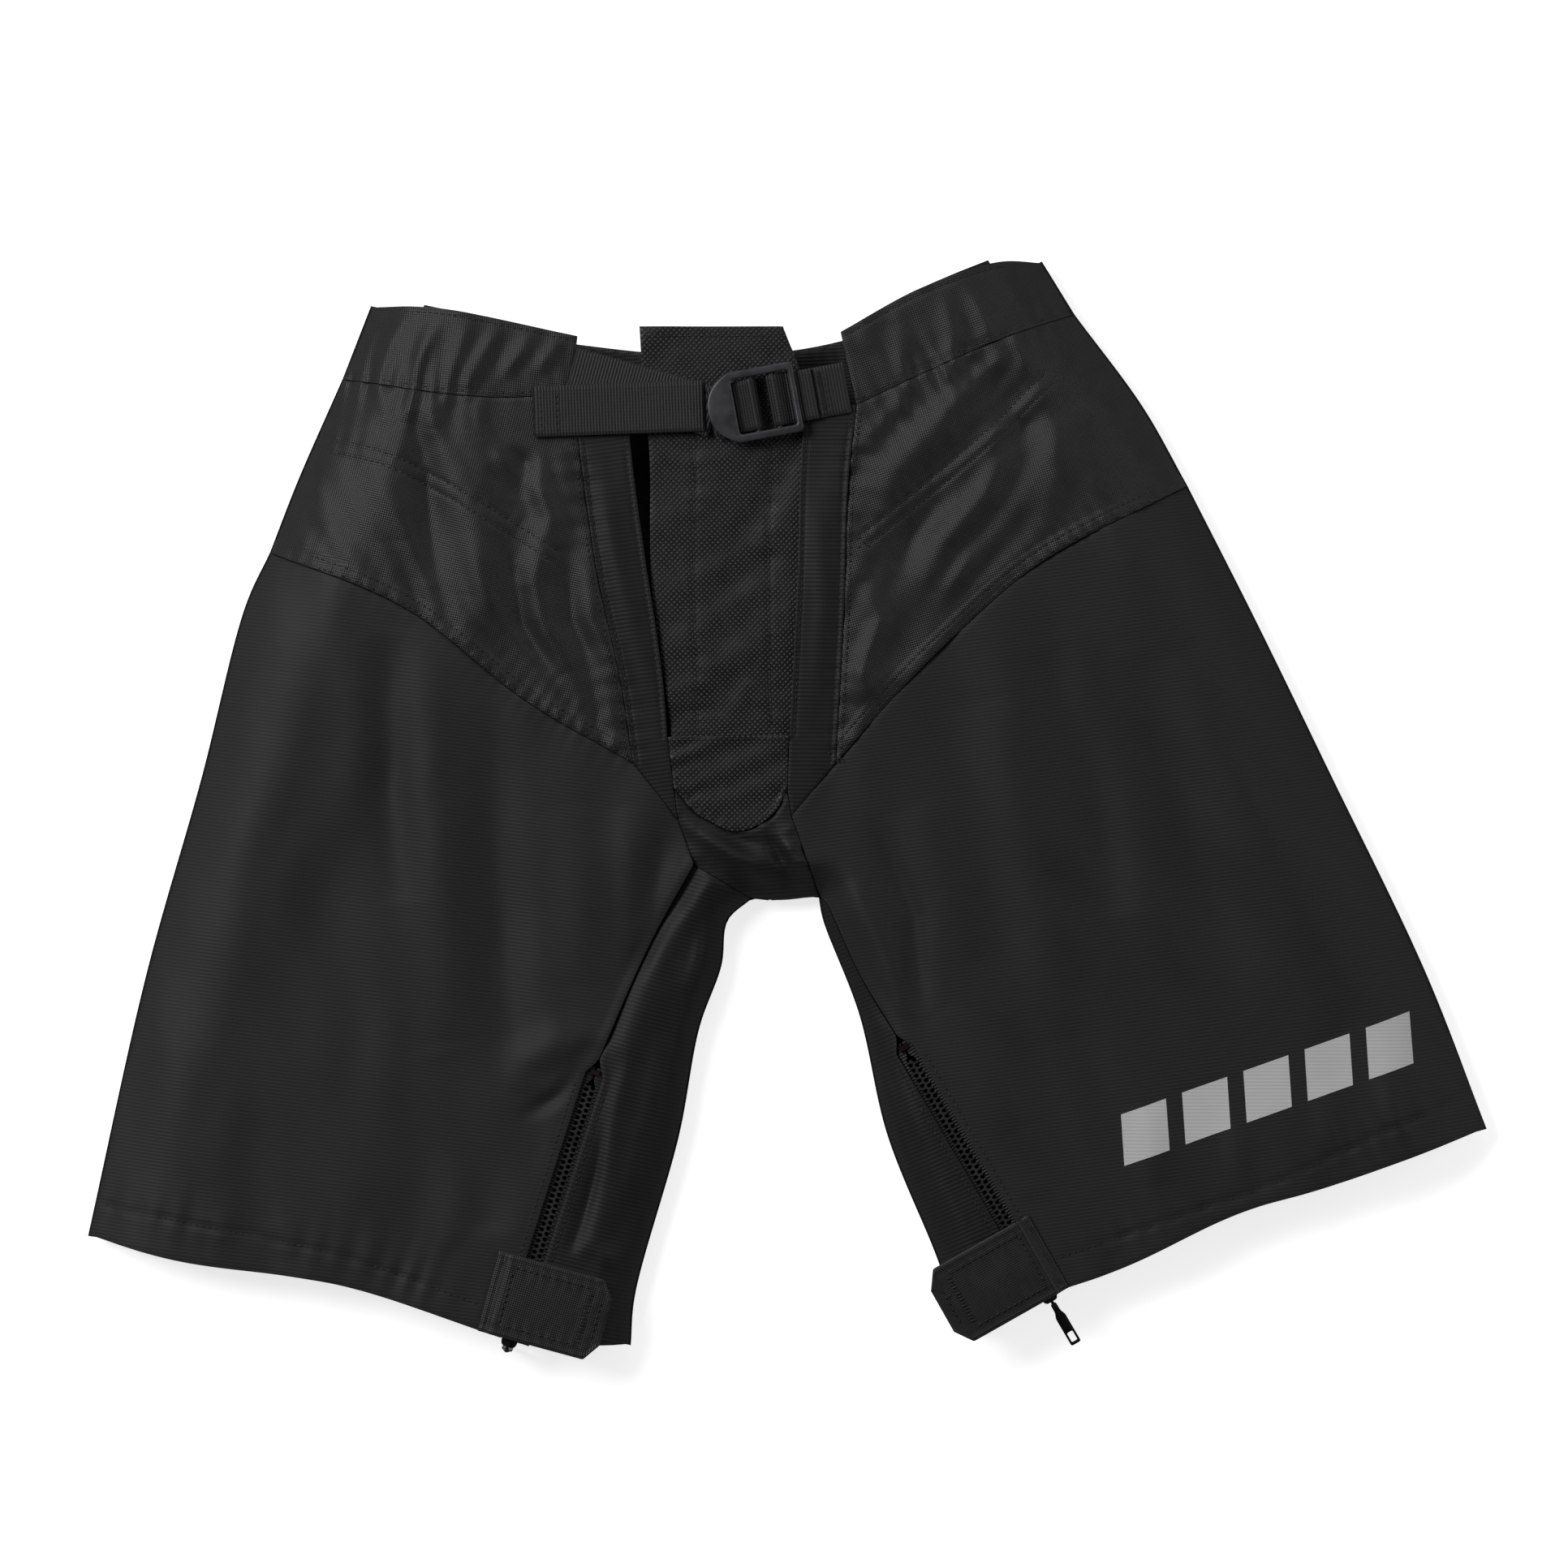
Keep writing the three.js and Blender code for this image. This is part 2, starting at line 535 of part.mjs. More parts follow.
// The pull hangs on a pin through the eye at the end of the bail. It is made pointing to -X.
function pullTab() {
  const half = PULL_WIDTH / 2;
  const plate = box(-PULL_LENGTH, 0, -half, half, -PULL_THICKNESS / 2, PULL_THICKNESS / 2);
  const fork = box(-PULL_EYE - 1.4, 2, -1.1, 1.1, -2, 2);
  const window = box(-PULL_LENGTH + 1.6, -PULL_LENGTH + 6.4, -half + 1.1, half - 1.1, -2, 2);
  const pin = barY(0, 0, PULL_PIN, half - 0.4, 10);
  return joined(cut(plate, fork, window), pin);
}

function zip(side, hem, head, outer, pullRest) {
  const group = new THREE.Group();
  const length = hem.distanceTo(head);
  group.position.copy(hem);
  group.rotation.z = Math.atan2(head.y - hem.y, head.x - hem.x);
  shell.add(group);
  group.updateMatrixWorld();
  const inZip = (x, y) => group.localToWorld(new THREE.Vector3(x, y, 0));
  const layer = frontLayer(CLOTH + ZIP_TAPE_DEPTH, ZIP_TAPE_THICKNESS);
  for (const [name, turn] of [["outer", outer], ["inner", -outer]]) {
    const edges = [TOOTH_REACH, TOOTH_REACH + ZIP_TAPE_WIDTH].map((y) => turn * y).sort((a, b) => a - b);
    const [near, far] = edges.map((y) => seam(14, inZip(0, y), inZip(length, y)));
    const tape = panel(near, far, seam(3, near[0], far[0]), seam(3, near[14], far[14]), layer);
    piece("zip_tape_" + name + "_" + side, tape, "webbing");
    const row = toothRow(length - 5, turn > 0 ? 0 : TOOTH_PITCH / 2);
    if (turn > 0) row.rotateX(Math.PI).translate(0, 0, 2 * CHAIN_HEIGHT);
    piece("zip_teeth_" + name + "_" + side, row.translate(0.6, 0, 0), "acetal", group);
  }
  const stopZ = TOOTH_THICKNESS / 2 + 0.2;
  const stop = box(length - 4, length - 1.6, -2.4, 2.4, CHAIN_HEIGHT - stopZ, CHAIN_HEIGHT + stopZ);
  piece("zip_stop_" + side, stop, "acetal", group);
  piece("zip_slider_" + side, sliderBody(), "enamel", group);
  const pull = piece("zip_pull_" + side, pullTab(), "enamel", group);
  pull.position.set(PULL_AXIS_X, 0, PULL_AXIS_Z);
  pull.rotation.y = pullRest * DEGREE;
}

// ---------- hem tabs ----------
const TAB_UNDERSIDE = PULL_AXIS_Z + PULL_EYE + AIR;

function tabOutline() {
  const half = TAB_WIDTH / 2;
  const keep = new THREE.Shape();
  keep.moveTo(-1, -half);
  keep.lineTo(TAB_LENGTH - TAB_CORNER * 0.7, -half);
  keep.lineTo(TAB_LENGTH, -half + TAB_CORNER);
  keep.lineTo(TAB_LENGTH, half - TAB_CORNER);
  keep.lineTo(TAB_LENGTH - TAB_CORNER * 0.7, half);
  keep.lineTo(-1, half);
  return new THREE.ExtrudeGeometry(keep, { depth: 60, bevelEnabled: false });
}

// A tab lies along its own +X, from the edge that is sewn to the leg to its free end.
function hemTab(side, foot, turn, patchStart, patchLength) {
  const group = new THREE.Group();
  group.position.copy(foot);
  group.rotation.z = turn * DEGREE;
  shell.add(group);
  const base = LEG_LOFT + AIR;
  const ramp = TAB_SEWN + 2.4;
  const profile = [[0, base], [TAB_SEWN, base], [ramp, TAB_UNDERSIDE], [TAB_LENGTH, TAB_UNDERSIDE]];
  const back = profile.map(([x, z]) => [x, z + TAB_THICKNESS]).reverse();
  const flap = solid(ribbon([...profile, ...back], TAB_WIDTH / 2 + 1)).intersect(solid(tabOutline()));
  piece("hem_tab_" + side, geometryOf(flap), "oxford", group);
  const halfPatch = TAB_WIDTH / 2 - 7;
  const end = patchStart + patchLength;
  const loopTop = base + TAPE_HEIGHT;
  const loop = box(patchStart, end, -halfPatch, halfPatch, base, loopTop);
  piece("loop_patch_" + side, loop, "hook", group);
  const hook = box(patchStart + 1, end - 1, -halfPatch + 1, halfPatch - 1, loopTop + AIR, TAB_UNDERSIDE - AIR);
  piece("hook_patch_" + side, hook, "hook", group);
}

// ---------- belt ----------
const BELT_LEVEL = HIP_LOFT + AIR; // underside of the webbing
const BAR_HEIGHT = BELT_LEVEL + WEB_THICKNESS + AIR + BUCKLE_BAR_RADIUS;
const TAIL_LEVEL = BELT_LEVEL + WEB_THICKNESS + AIR;
const BUCKLE_LEVEL = TAIL_LEVEL + WEB_THICKNESS + AIR;
const ADJUST_BAR = 0.3; // place of the bar that the adjustable end wraps
const ANCHOR_BAR = 11.0; // place of the bar that holds the sewn loop
const WINDOW_START = BUCKLE_LENGTH / 2 - BUCKLE_END_RAIL - BUCKLE_WINDOW_LENGTH;
const buckleMiddle = plan(-16.8, 197);
const BUCKLE_TURN = 10.5;
const TAIL_OFFSET = 4; // the tail leaves the lip this much nearer the waist edge

function ladderLock() {
  const half = BUCKLE_WIDTH / 2;
  const right = BUCKLE_LENGTH / 2;
  const windowHalf = WEB_WIDTH / 2 + 1.2;
  const frame = new THREE.Shape();
  frame.moveTo(WINDOW_START - 1, -half);
  frame.lineTo(right - 3, -half);
  frame.quadraticCurveTo(right, -half, right, -half + 3);
  frame.lineTo(right, half - 3);
  frame.quadraticCurveTo(right, half, right - 3, half);
  frame.lineTo(WINDOW_START - 1, half);
  frame.bezierCurveTo(-right + 3, half * 0.75, -right, half * 0.4, -right, 0);
  frame.bezierCurveTo(-right, -half * 0.4, -right + 3, -half * 0.75, WINDOW_START - 1, -half);
  const sheet = { depth: BUCKLE_PLATE, bevelEnabled: false, curveSegments: 6 };
  const plate = new THREE.ExtrudeGeometry(frame, sheet).translate(0, 0, BUCKLE_LEVEL);
  const windowEnd = WINDOW_START + BUCKLE_WINDOW_LENGTH;
  const window = box(WINDOW_START, windowEnd, -windowHalf, windowHalf, BUCKLE_LEVEL - 1, BUCKLE_LEVEL + 9);
  const pieces = [cut(plate, window)];
  for (const turn of [-1, 1]) {
    const y = [turn * (windowHalf - 0.1), turn * (half - 0.8)].sort((a, b) => a - b);
    const low = BAR_HEIGHT - BUCKLE_BAR_RADIUS;
    pieces.push(box(WINDOW_START, windowEnd, y[0], y[1], low, BUCKLE_LEVEL + 0.5));
  }
  for (const bar of [ADJUST_BAR, ANCHOR_BAR])
    pieces.push(barY(bar, BAR_HEIGHT, BUCKLE_BAR_RADIUS, windowHalf + 0.6, 12));
  return joined(...pieces);
}

// Webbing that runs in under a bar, turns round it and comes back over it, then drops to the tail level.
// `way` is +1 when it comes from -X and -1 when it comes from +X; the far ends are where it is cut.
function webLoop(bar, way, lowEnd, highEnd) {
  const inside = BUCKLE_BAR_RADIUS + AIR;
  const outside = inside + WEB_THICKNESS;
  const drop = bar - way * 6.5;
  const crest = bar - way * 1.5;
  const arc = (radius) =>
    [-90, -60, -30, 0, 30, 60, 90].map((a) => [
      bar + way * radius * Math.cos(a * DEGREE),
      BAR_HEIGHT + radius * Math.sin(a * DEGREE),
    ]);
  const upper = TAIL_LEVEL + WEB_THICKNESS;
  const outer = [[lowEnd, BELT_LEVEL], ...arc(outside)];
  outer.push([crest, BAR_HEIGHT + outside], [drop, upper], [highEnd, upper]);
  const inner = arc(inside).reverse();
  inner.unshift([highEnd, TAIL_LEVEL], [drop + way * 0.4, TAIL_LEVEL], [crest, BAR_HEIGHT + inside]);
  inner.push([lowEnd, BELT_LEVEL + WEB_THICKNESS]);
  const outline = [...outer, ...inner];
  return ribbon(way > 0 ? outline : outline.reverse(), WEB_WIDTH / 2);
}

// A straight piece of webbing between two plan points at a given height.
function webStrip(from, to, level) {
  const length = from.distanceTo(to);
  const half = WEB_WIDTH / 2;
  const strip = box(0, length, -half, half, level, level + WEB_THICKNESS);
  strip.rotateZ(Math.atan2(to.y - from.y, to.x - from.x));
  return strip.translate(from.x, from.y, 0);
}

function belt() {
  const group = new THREE.Group();
  group.position.copy(buckleMiddle);
  group.rotation.z = BUCKLE_TURN * DEGREE;
  shell.add(group);
  const lipEnd = -BUCKLE_LENGTH / 2;
  const onBelt = (u) => buckleMiddle.clone().add(
    new THREE.Vector3(Math.cos(BUCKLE_TURN * DEGREE) * u, Math.sin(BUCKLE_TURN * DEGREE) * u, 0),
  );
  piece("belt_buckle", ladderLock(), "acetal", group);
  piece("belt_strap_loop", webLoop(ADJUST_BAR, 1, lipEnd + 8.8, lipEnd + 1), "webbing", group);
  piece("belt_anchor_loop", webLoop(ANCHOR_BAR, -1, 47, 31), "webbing", group);
  const strapStart = plan(-102.4, 212);
  const strapEnd = onBelt(lipEnd + 3.2);
  piece("belt_strap", webStrip(strapStart, strapEnd, BELT_LEVEL), "webbing");
  const tailStart = plan(-125, 193.5);
  const tailEnd = onBelt(lipEnd - 2).add(plan(0, TAIL_OFFSET));
  piece("belt_tail", webStrip(tailStart, tailEnd, TAIL_LEVEL), "webbing");
}

// ---------- assembly ----------
frontPanels();
frontYokes();
flyAndGusset();
tongue();
frontWaistband();
reinforcementTapes();
backPanels();
backWaistband();
zip("right", zipHemR, zipHeadR, 1, -90);
zip("left", zipHemL, zipHeadL, -1, 0);
hemTab("right", plan(-147.2, -239), -15.2, 25, 20);
hemTab("left", plan(128.6, -219.6), 209.5, 18, 15);
belt();

const part = new THREE.Group();
part.add(shell);
part.updateMatrixWorld(true);
const bounds = new THREE.Box3().setFromObject(part, true);
const middle = bounds.getCenter(new THREE.Vector3());
shell.position.set(-middle.x, -middle.y, -bounds.min.z);

export default part;
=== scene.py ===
# %% [markdown]
# # Ice hockey pant shell, laid flat
# The real object is a thin, unpadded shell of sewn cloth that a player wears over a padded girdle.
# It lies on its back with the front up. A frame of plain solids gives its sizes and its moving parts.
# Each solid of cloth is replaced here by a finer sheet with folds, seams and stitches, and the hard
# pieces get their finish. Lengths are in millimetres in the helpers, and in metres in Blender.

# %% Load the frame and keep its size
import math

import bpy
import numpy as np
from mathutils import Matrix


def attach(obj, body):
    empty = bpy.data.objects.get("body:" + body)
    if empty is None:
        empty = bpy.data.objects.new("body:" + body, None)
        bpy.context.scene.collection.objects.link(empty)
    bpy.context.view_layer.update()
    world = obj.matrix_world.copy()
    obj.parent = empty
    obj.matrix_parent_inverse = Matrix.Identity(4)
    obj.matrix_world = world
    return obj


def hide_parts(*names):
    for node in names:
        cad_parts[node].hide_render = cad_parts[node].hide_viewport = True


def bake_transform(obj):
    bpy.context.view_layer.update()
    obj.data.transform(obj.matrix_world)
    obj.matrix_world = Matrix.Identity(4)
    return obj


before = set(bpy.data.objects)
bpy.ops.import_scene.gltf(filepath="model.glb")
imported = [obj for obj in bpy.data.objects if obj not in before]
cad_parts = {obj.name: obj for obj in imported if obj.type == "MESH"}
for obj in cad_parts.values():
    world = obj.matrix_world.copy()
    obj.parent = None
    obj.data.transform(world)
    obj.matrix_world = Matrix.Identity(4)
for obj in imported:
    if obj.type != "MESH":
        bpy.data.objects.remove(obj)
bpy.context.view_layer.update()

# %% [markdown]
# ## Camera
# The shell is seen from straight above. A long lens far away keeps the outline true: a short lens
# would make the raised waist look larger than the hems.

# %% Camera above the middle of the shell
PICTURE_WIDTH = 0.7728
CAMERA_HEIGHT = 3.2
CLOTH_LEVEL = 0.027
camera_data = bpy.data.cameras.new("camera")
camera_data.sensor_width = 36
camera_data.lens = 36 * CAMERA_HEIGHT / PICTURE_WIDTH
camera_data.clip_end = 20
camera = bpy.data.objects.new("camera", camera_data)
camera.location = (-0.0016, 0.0127, CLOTH_LEVEL + CAMERA_HEIGHT)
bpy.context.scene.collection.objects.link(camera)
bpy.context.scene.camera = camera
print("lens", round(camera_data.lens, 1), "mm")

# %% [markdown]
# ## Floor and light
# Black cloth shows its folds only by its gloss, so the lights are large soft boxes low at the sides,
# and little light comes from straight above, where it would only turn the black to grey. The floor is
# a pale sweep that glows a little, as a light table does, so that it stays clean white. Its glow is
# kept off the cloth, because the floor is hidden from the diffuse, glossy and shadow rays.


# %% Colour from a hex value, and one node with its settings and links
def linear(hex_value, alpha=1.0):
    channels = [int(hex_value[k : k + 2], 16) / 255 for k in (1, 3, 5)]
    return [c / 12.92 if c <= 0.04045 else ((c + 0.055) / 1.055) ** 2.4 for c in channels] + [alpha]


def add(tree, kind, settings=None, links=None):
    made = tree.nodes.new(kind)
    for key, value in (settings or {}).items():
        setattr(made, key, value)
    for key, value in (links or {}).items():
        if isinstance(value, bpy.types.NodeSocket):
            tree.links.new(value, made.inputs[key])
        else:
            made.inputs[key].default_value = value
    return made


# %% Pale floor
floor_paint = bpy.data.materials.new("pale_matt_floor_paint")
floor_paint.use_nodes = True
floor_shader = floor_paint.node_tree.nodes["Principled BSDF"]
floor_shader.inputs["Base Color"].default_value = linear("#f2f2f2")
floor_shader.inputs["Roughness"].default_value = 0.9
floor_shader.inputs["Emission Color"].default_value = linear("#ffffff")
floor_shader.inputs["Emission Strength"].default_value = 0.75
floor_mesh = bpy.data.meshes.new("floor")
FLAT_HALF, SWEEP_HALF, SWEEP_HEIGHT = 5, 9, 5
levels = ((FLAT_HALF, 0), (SWEEP_HALF, SWEEP_HEIGHT))
rim = [(x * s, y * s, z) for s, z in levels for x, y in ((-1, -1), (1, -1), (1, 1), (-1, 1))]
floor_mesh.from_pydata(rim, [], [(0, 1, 2, 3), (0, 4, 5, 1), (1, 5, 6, 2), (2, 6, 7, 3), (3, 7, 4, 0)])
floor_mesh.materials.append(floor_paint)
floor = bpy.data.objects.new("floor", floor_mesh)
floor.location.z = -0.0004
floor.visible_diffuse = floor.visible_glossy = floor.visible_shadow = False
bpy.context.scene.collection.objects.link(floor)

# %% Soft boxes and a dim room
world = bpy.data.worlds.new("studio")
bpy.context.scene.world = world
world.use_nodes = True
room = world.node_tree
room.nodes["Background"].inputs["Color"].default_value = linear("#ffffff")
way = add(room, "ShaderNodeTexCoord").outputs["Generated"]
height = add(room, "ShaderNodeSeparateXYZ", None, {0: way}).outputs["Z"]
walls = add(
    room, "ShaderNodeMapRange", None,
    {"Value": height, "From Min": 0.2, "From Max": 0.7, "To Min": 0.25, "To Max": 0.03},
)
room.links.new(walls.outputs[0], room.nodes["Background"].inputs["Strength"])


def soft_box(name, place, aim, size, watts):
    data = bpy.data.lights.new(name, "AREA")
    data.shape = "RECTANGLE"
    data.size, data.size_y = size
    data.energy = watts
    lamp = bpy.data.objects.new(name, data)
    lamp.location = place
    way = np.array(aim, float) - np.array(place, float)
    flat = math.hypot(way[0], way[1])
    lamp.rotation_euler = (math.atan2(flat, -way[2]), 0, math.atan2(way[1], way[0]) - math.pi / 2)
    bpy.context.scene.collection.objects.link(lamp)


soft_box("key", (-1.5, 0.9, 1.75), (0, 0, 0), (1.2, 0.8), 33)
soft_box("fill", (1.7, 0.4, 1.1), (0, 0, 0), (1.1, 0.8), 5)
soft_box("waist", (0.3, 1.9, 1.5), (0, 0, 0), (1.3, 0.7), 5)
bpy.context.scene.view_settings.view_transform = "Standard"

# %% [markdown]
# ## The pattern
# The shell is drawn flat, as a cutter draws it: corner points that several panels share, and the seams
# between them. A seam is a smooth curve through a few points. Two panels that meet are made from the
# same seam, so they fit with no hole between them.


# %% Smooth seams
def evenly(line, count):
    line = np.array(line, float)
    step = np.hypot(*np.diff(line, axis=0).T)
    walked = np.concatenate([[0], np.cumsum(step)])
    places = np.linspace(0, walked[-1], count + 1)
    return np.column_stack([np.interp(places, walked, line[:, k]) for k in (0, 1)])


def seam(*points):
    p = np.array(points, float)
    if len(p) == 2:
        return evenly(p, 12)
    ends = np.vstack([2 * p[0] - p[1], p, 2 * p[-1] - p[-2]])
    fine = []
    t = np.linspace(0, 1, 24, endpoint=False)[:, None]
    for k in range(len(p) - 1):
        p0, p1, p2, p3 = ends[k : k + 4]
        a, b, c = (math.sqrt(math.dist(q, r)) for q, r in ((p0, p1), (p1, p2), (p2, p3)))
        out = ((p1 - p0) / a - (p2 - p0) / (a + b) + (p2 - p1) / b) * b
        back = ((p2 - p1) / b - (p3 - p1) / (b + c) + (p3 - p2) / c) * b
        cubic = (2 * p1 - 2 * p2 + out + back) * t**3 + (-3 * p1 + 3 * p2 - 2 * out - back) * t**2
        fine.append(cubic + out * t + p1)
    return np.vstack([*fine, p[-1:]])


def chain(*lines):
    return np.vstack([lines[0], *[line[1:] for line in lines[1:]]])


# %% Corner points that panels share, "r" on the wearer's right and "l" on the left
hem_side_r, hem_side_l = (-346, -213), (346, -160)
yoke_side_r, yoke_side_l = (-256, 125), (198, 158)
band_side_r, band_side_l = (-220, 211), (142, 243)
waist_side_r, waist_side_l = (-206, 247), (126, 269)
hem_inner_r, hem_inner_l = (-78, -267), (86, -259)
fly_foot_r, fly_foot_l = (-54, -7), (2, -5)
fly_outer_foot_r, fly_outer_foot_l = (-76, 21), (24, 21)
pocket_foot_r, pocket_foot_l = (-56, 9), (0, 8)
pocket_head_r, pocket_head_l = (-59, 34), (1, 35)
crotch_r, crotch_l = (-18, -46), (16, -45)
thigh_head_r, thigh_head_l = (-46, -29), (20, -49)
seat_middle, seat_crotch, back_waist_middle = (-25, 30), (-9, -47), (-34, 190)
zip_hem_r, zip_head_r = (-137, -264), (-94, -129)
zip_hem_l, zip_head_l = (129, -242), (56, -117)
ZIP_OPENING = 9.0


def beside_zip(hem, head, side):
    hem, head = np.array(hem, float), np.array(head, float)
    along = (head - hem) / math.dist(hem, head)
    across = np.array([-along[1], along[0]]) * side * ZIP_OPENING / 2
    turned = head - along * 4 + across
    return chain(evenly([hem + across, turned], 40), seam(turned, head + across * 0.45, head + along * 4))


# %% Seams
side_leg_r = seam(hem_side_r, (-317, -83), (-290, 13), (-268, 99), yoke_side_r)
side_leg_l = seam(hem_side_l, (316, -83), (268, 17), (231, 93), yoke_side_l)
side_yoke_r = seam(yoke_side_r, (-242, 161), band_side_r)
side_yoke_l = seam(yoke_side_l, (176, 197), band_side_l)
side_band_r, side_band_l = seam(band_side_r, waist_side_r), seam(band_side_l, waist_side_l)
inner_r = seam(hem_inner_r, (-76, -243), (-54, -163), (-44, -110), (-33, -79), (-30, -57), crotch_r)
inner_l = seam(hem_inner_l, (75, -225), (50, -163), (36, -103), (18, -56), crotch_l)
crotch = seam(crotch_r, (-3, -47), crotch_l)
yoke_seam_r = seam(yoke_side_r, (-188, 97), (-128, 51), fly_outer_foot_r)
yoke_seam_l = seam(fly_outer_foot_l, (52, 53), (84, 85), (124, 119), yoke_side_l)
fly_foot_seam_r = seam(fly_outer_foot_r, fly_foot_r)
fly_foot_seam_l = seam(fly_foot_l, fly_outer_foot_l)
fly_outer_r = seam(fly_outer_foot_r, (-82, 61), (-94, 117), (-102, 173), (-106, 205))
fly_outer_l = seam(fly_outer_foot_l, (28, 97), (30, 157), (34, 197))
pocket_side_r, pocket_side_l = seam(pocket_foot_r, pocket_head_r), seam(pocket_foot_l, pocket_head_l)
fly_inner_r = seam(pocket_head_r, (-61, 61), (-64.8, 90), (-69.8, 122), (-76.5, 173), (-79, 205))
fly_inner_l = seam(pocket_head_l, (5, 117), (6, 157), (8, 197))
pocket_seam = seam(pocket_foot_r, (-46, -3), (-36, -9), (-26, -13), (-15, -10), (-6, -3), pocket_foot_l)
band_seam_r = seam(band_side_r, (-164, 202), (-128, 201), (-106, 205))
band_seam_l = seam((34, 197), (72, 215), (104, 229), band_side_l)
waist_edge_r = seam(waist_side_r, (-172, 245), (-103, 231))
waist_edge_l = seam((26, 233), (64, 254), (104, 268), waist_side_l)
gusset_side_r, gusset_side_l = seam(thigh_head_r, fly_foot_r), seam(crotch_l, (9, -25), fly_foot_l)
thigh_top_r = seam(thigh_head_r, crotch_r)
gusset_tip_r, gusset_tip_l = seam(fly_foot_r, pocket_foot_r), seam(fly_foot_l, pocket_foot_l)
zip_leg_r, zip_thigh_r = beside_zip(zip_hem_r, zip_head_r, 1), beside_zip(zip_hem_r, zip_head_r, -1)
zip_leg_l, zip_thigh_l = beside_zip(zip_hem_l, zip_head_l, -1), beside_zip(zip_hem_l, zip_head_l, 1)
thigh_seam_r = seam(zip_leg_r[-1], (-68, -69), thigh_head_r)
thigh_seam_l = seam(zip_leg_l[-1], (36, -84), thigh_head_l)
silhouette = [
    chain(side_leg_r, side_yoke_r, side_band_r),
    chain(side_leg_l, side_yoke_l, side_band_l),
    chain(inner_r, crotch),
    inner_l,
]
print("yoke seam", round(float(np.hypot(*np.diff(yoke_seam_r, axis=0).T).sum())), "mm long")

# %% [markdown]
# ## How high the cloth lies
# The front stands over the back as a flat, rounded pillow, because the cloth has some stiffness. Every
# fold is a soft ridge or valley that follows a line, highest at its middle and dying out at both ends.
# The folds run straight across the seams, as they do in real cloth. They stop short of the belt, the
# zips and the tabs, which hold the cloth flat.

# %% Distance and place along a line
LEG_LOFT, HIP_LOFT, SEAM_HEIGHT, CLOTH, AIR = 26.0, 36.0, 9.0, 1.6, 0.3
OUTER_ROUND, INNER_ROUND, BACK_ROUND = 46.0, 20.0, 16.0


def near(line, x, y):
    best = np.full(x.shape, 1e9)
    place = np.zeros(x.shape)
    walked = 0.0
    for a, b in zip(line[:-1], line[1:]):
        d = np.array(b, float) - np.array(a, float)
        length = math.hypot(*d)
        if length < 1e-9:
            continue
        t = np.clip(((x - a[0]) * d[0] + (y - a[1]) * d[1]) / length**2, 0, 1)
        away = np.hypot(x - a[0] - t * d[0], y - a[1] - t * d[1])
        closer = away < best
        best = np.where(closer, away, best)
        place = np.where(closer, walked + t * length, place)
        walked += length
    return best, place, walked


def smooth_step(t):
    t = np.clip(t, 0, 1)
    return t * t * (3 - 2 * t)


def from_silhouette(x, y):
    """Distance to the two outer sides, and to the crotch and inner legs."""
    away = [near(evenly(line, 70), x, y)[0] for line in silhouette]
    return np.minimum(away[0], away[1]), np.minimum(away[2], away[3])


def rounded(distance, reach):
    return 1 - np.maximum(0, 1 - distance / reach) ** 2


def front_top(y, distance):
    loft = LEG_LOFT + (HIP_LOFT - LEG_LOFT) * smooth_step((y + 100) / 230)
    low = SEAM_HEIGHT + 0.5
    return low + (loft - low) * np.minimum(
        rounded(distance[0], OUTER_ROUND), rounded(distance[1], INNER_ROUND),
    )


def back_bottom(distance):
    return (SEAM_HEIGHT - 0.2) * (1 - rounded(distance, BACK_ROUND))


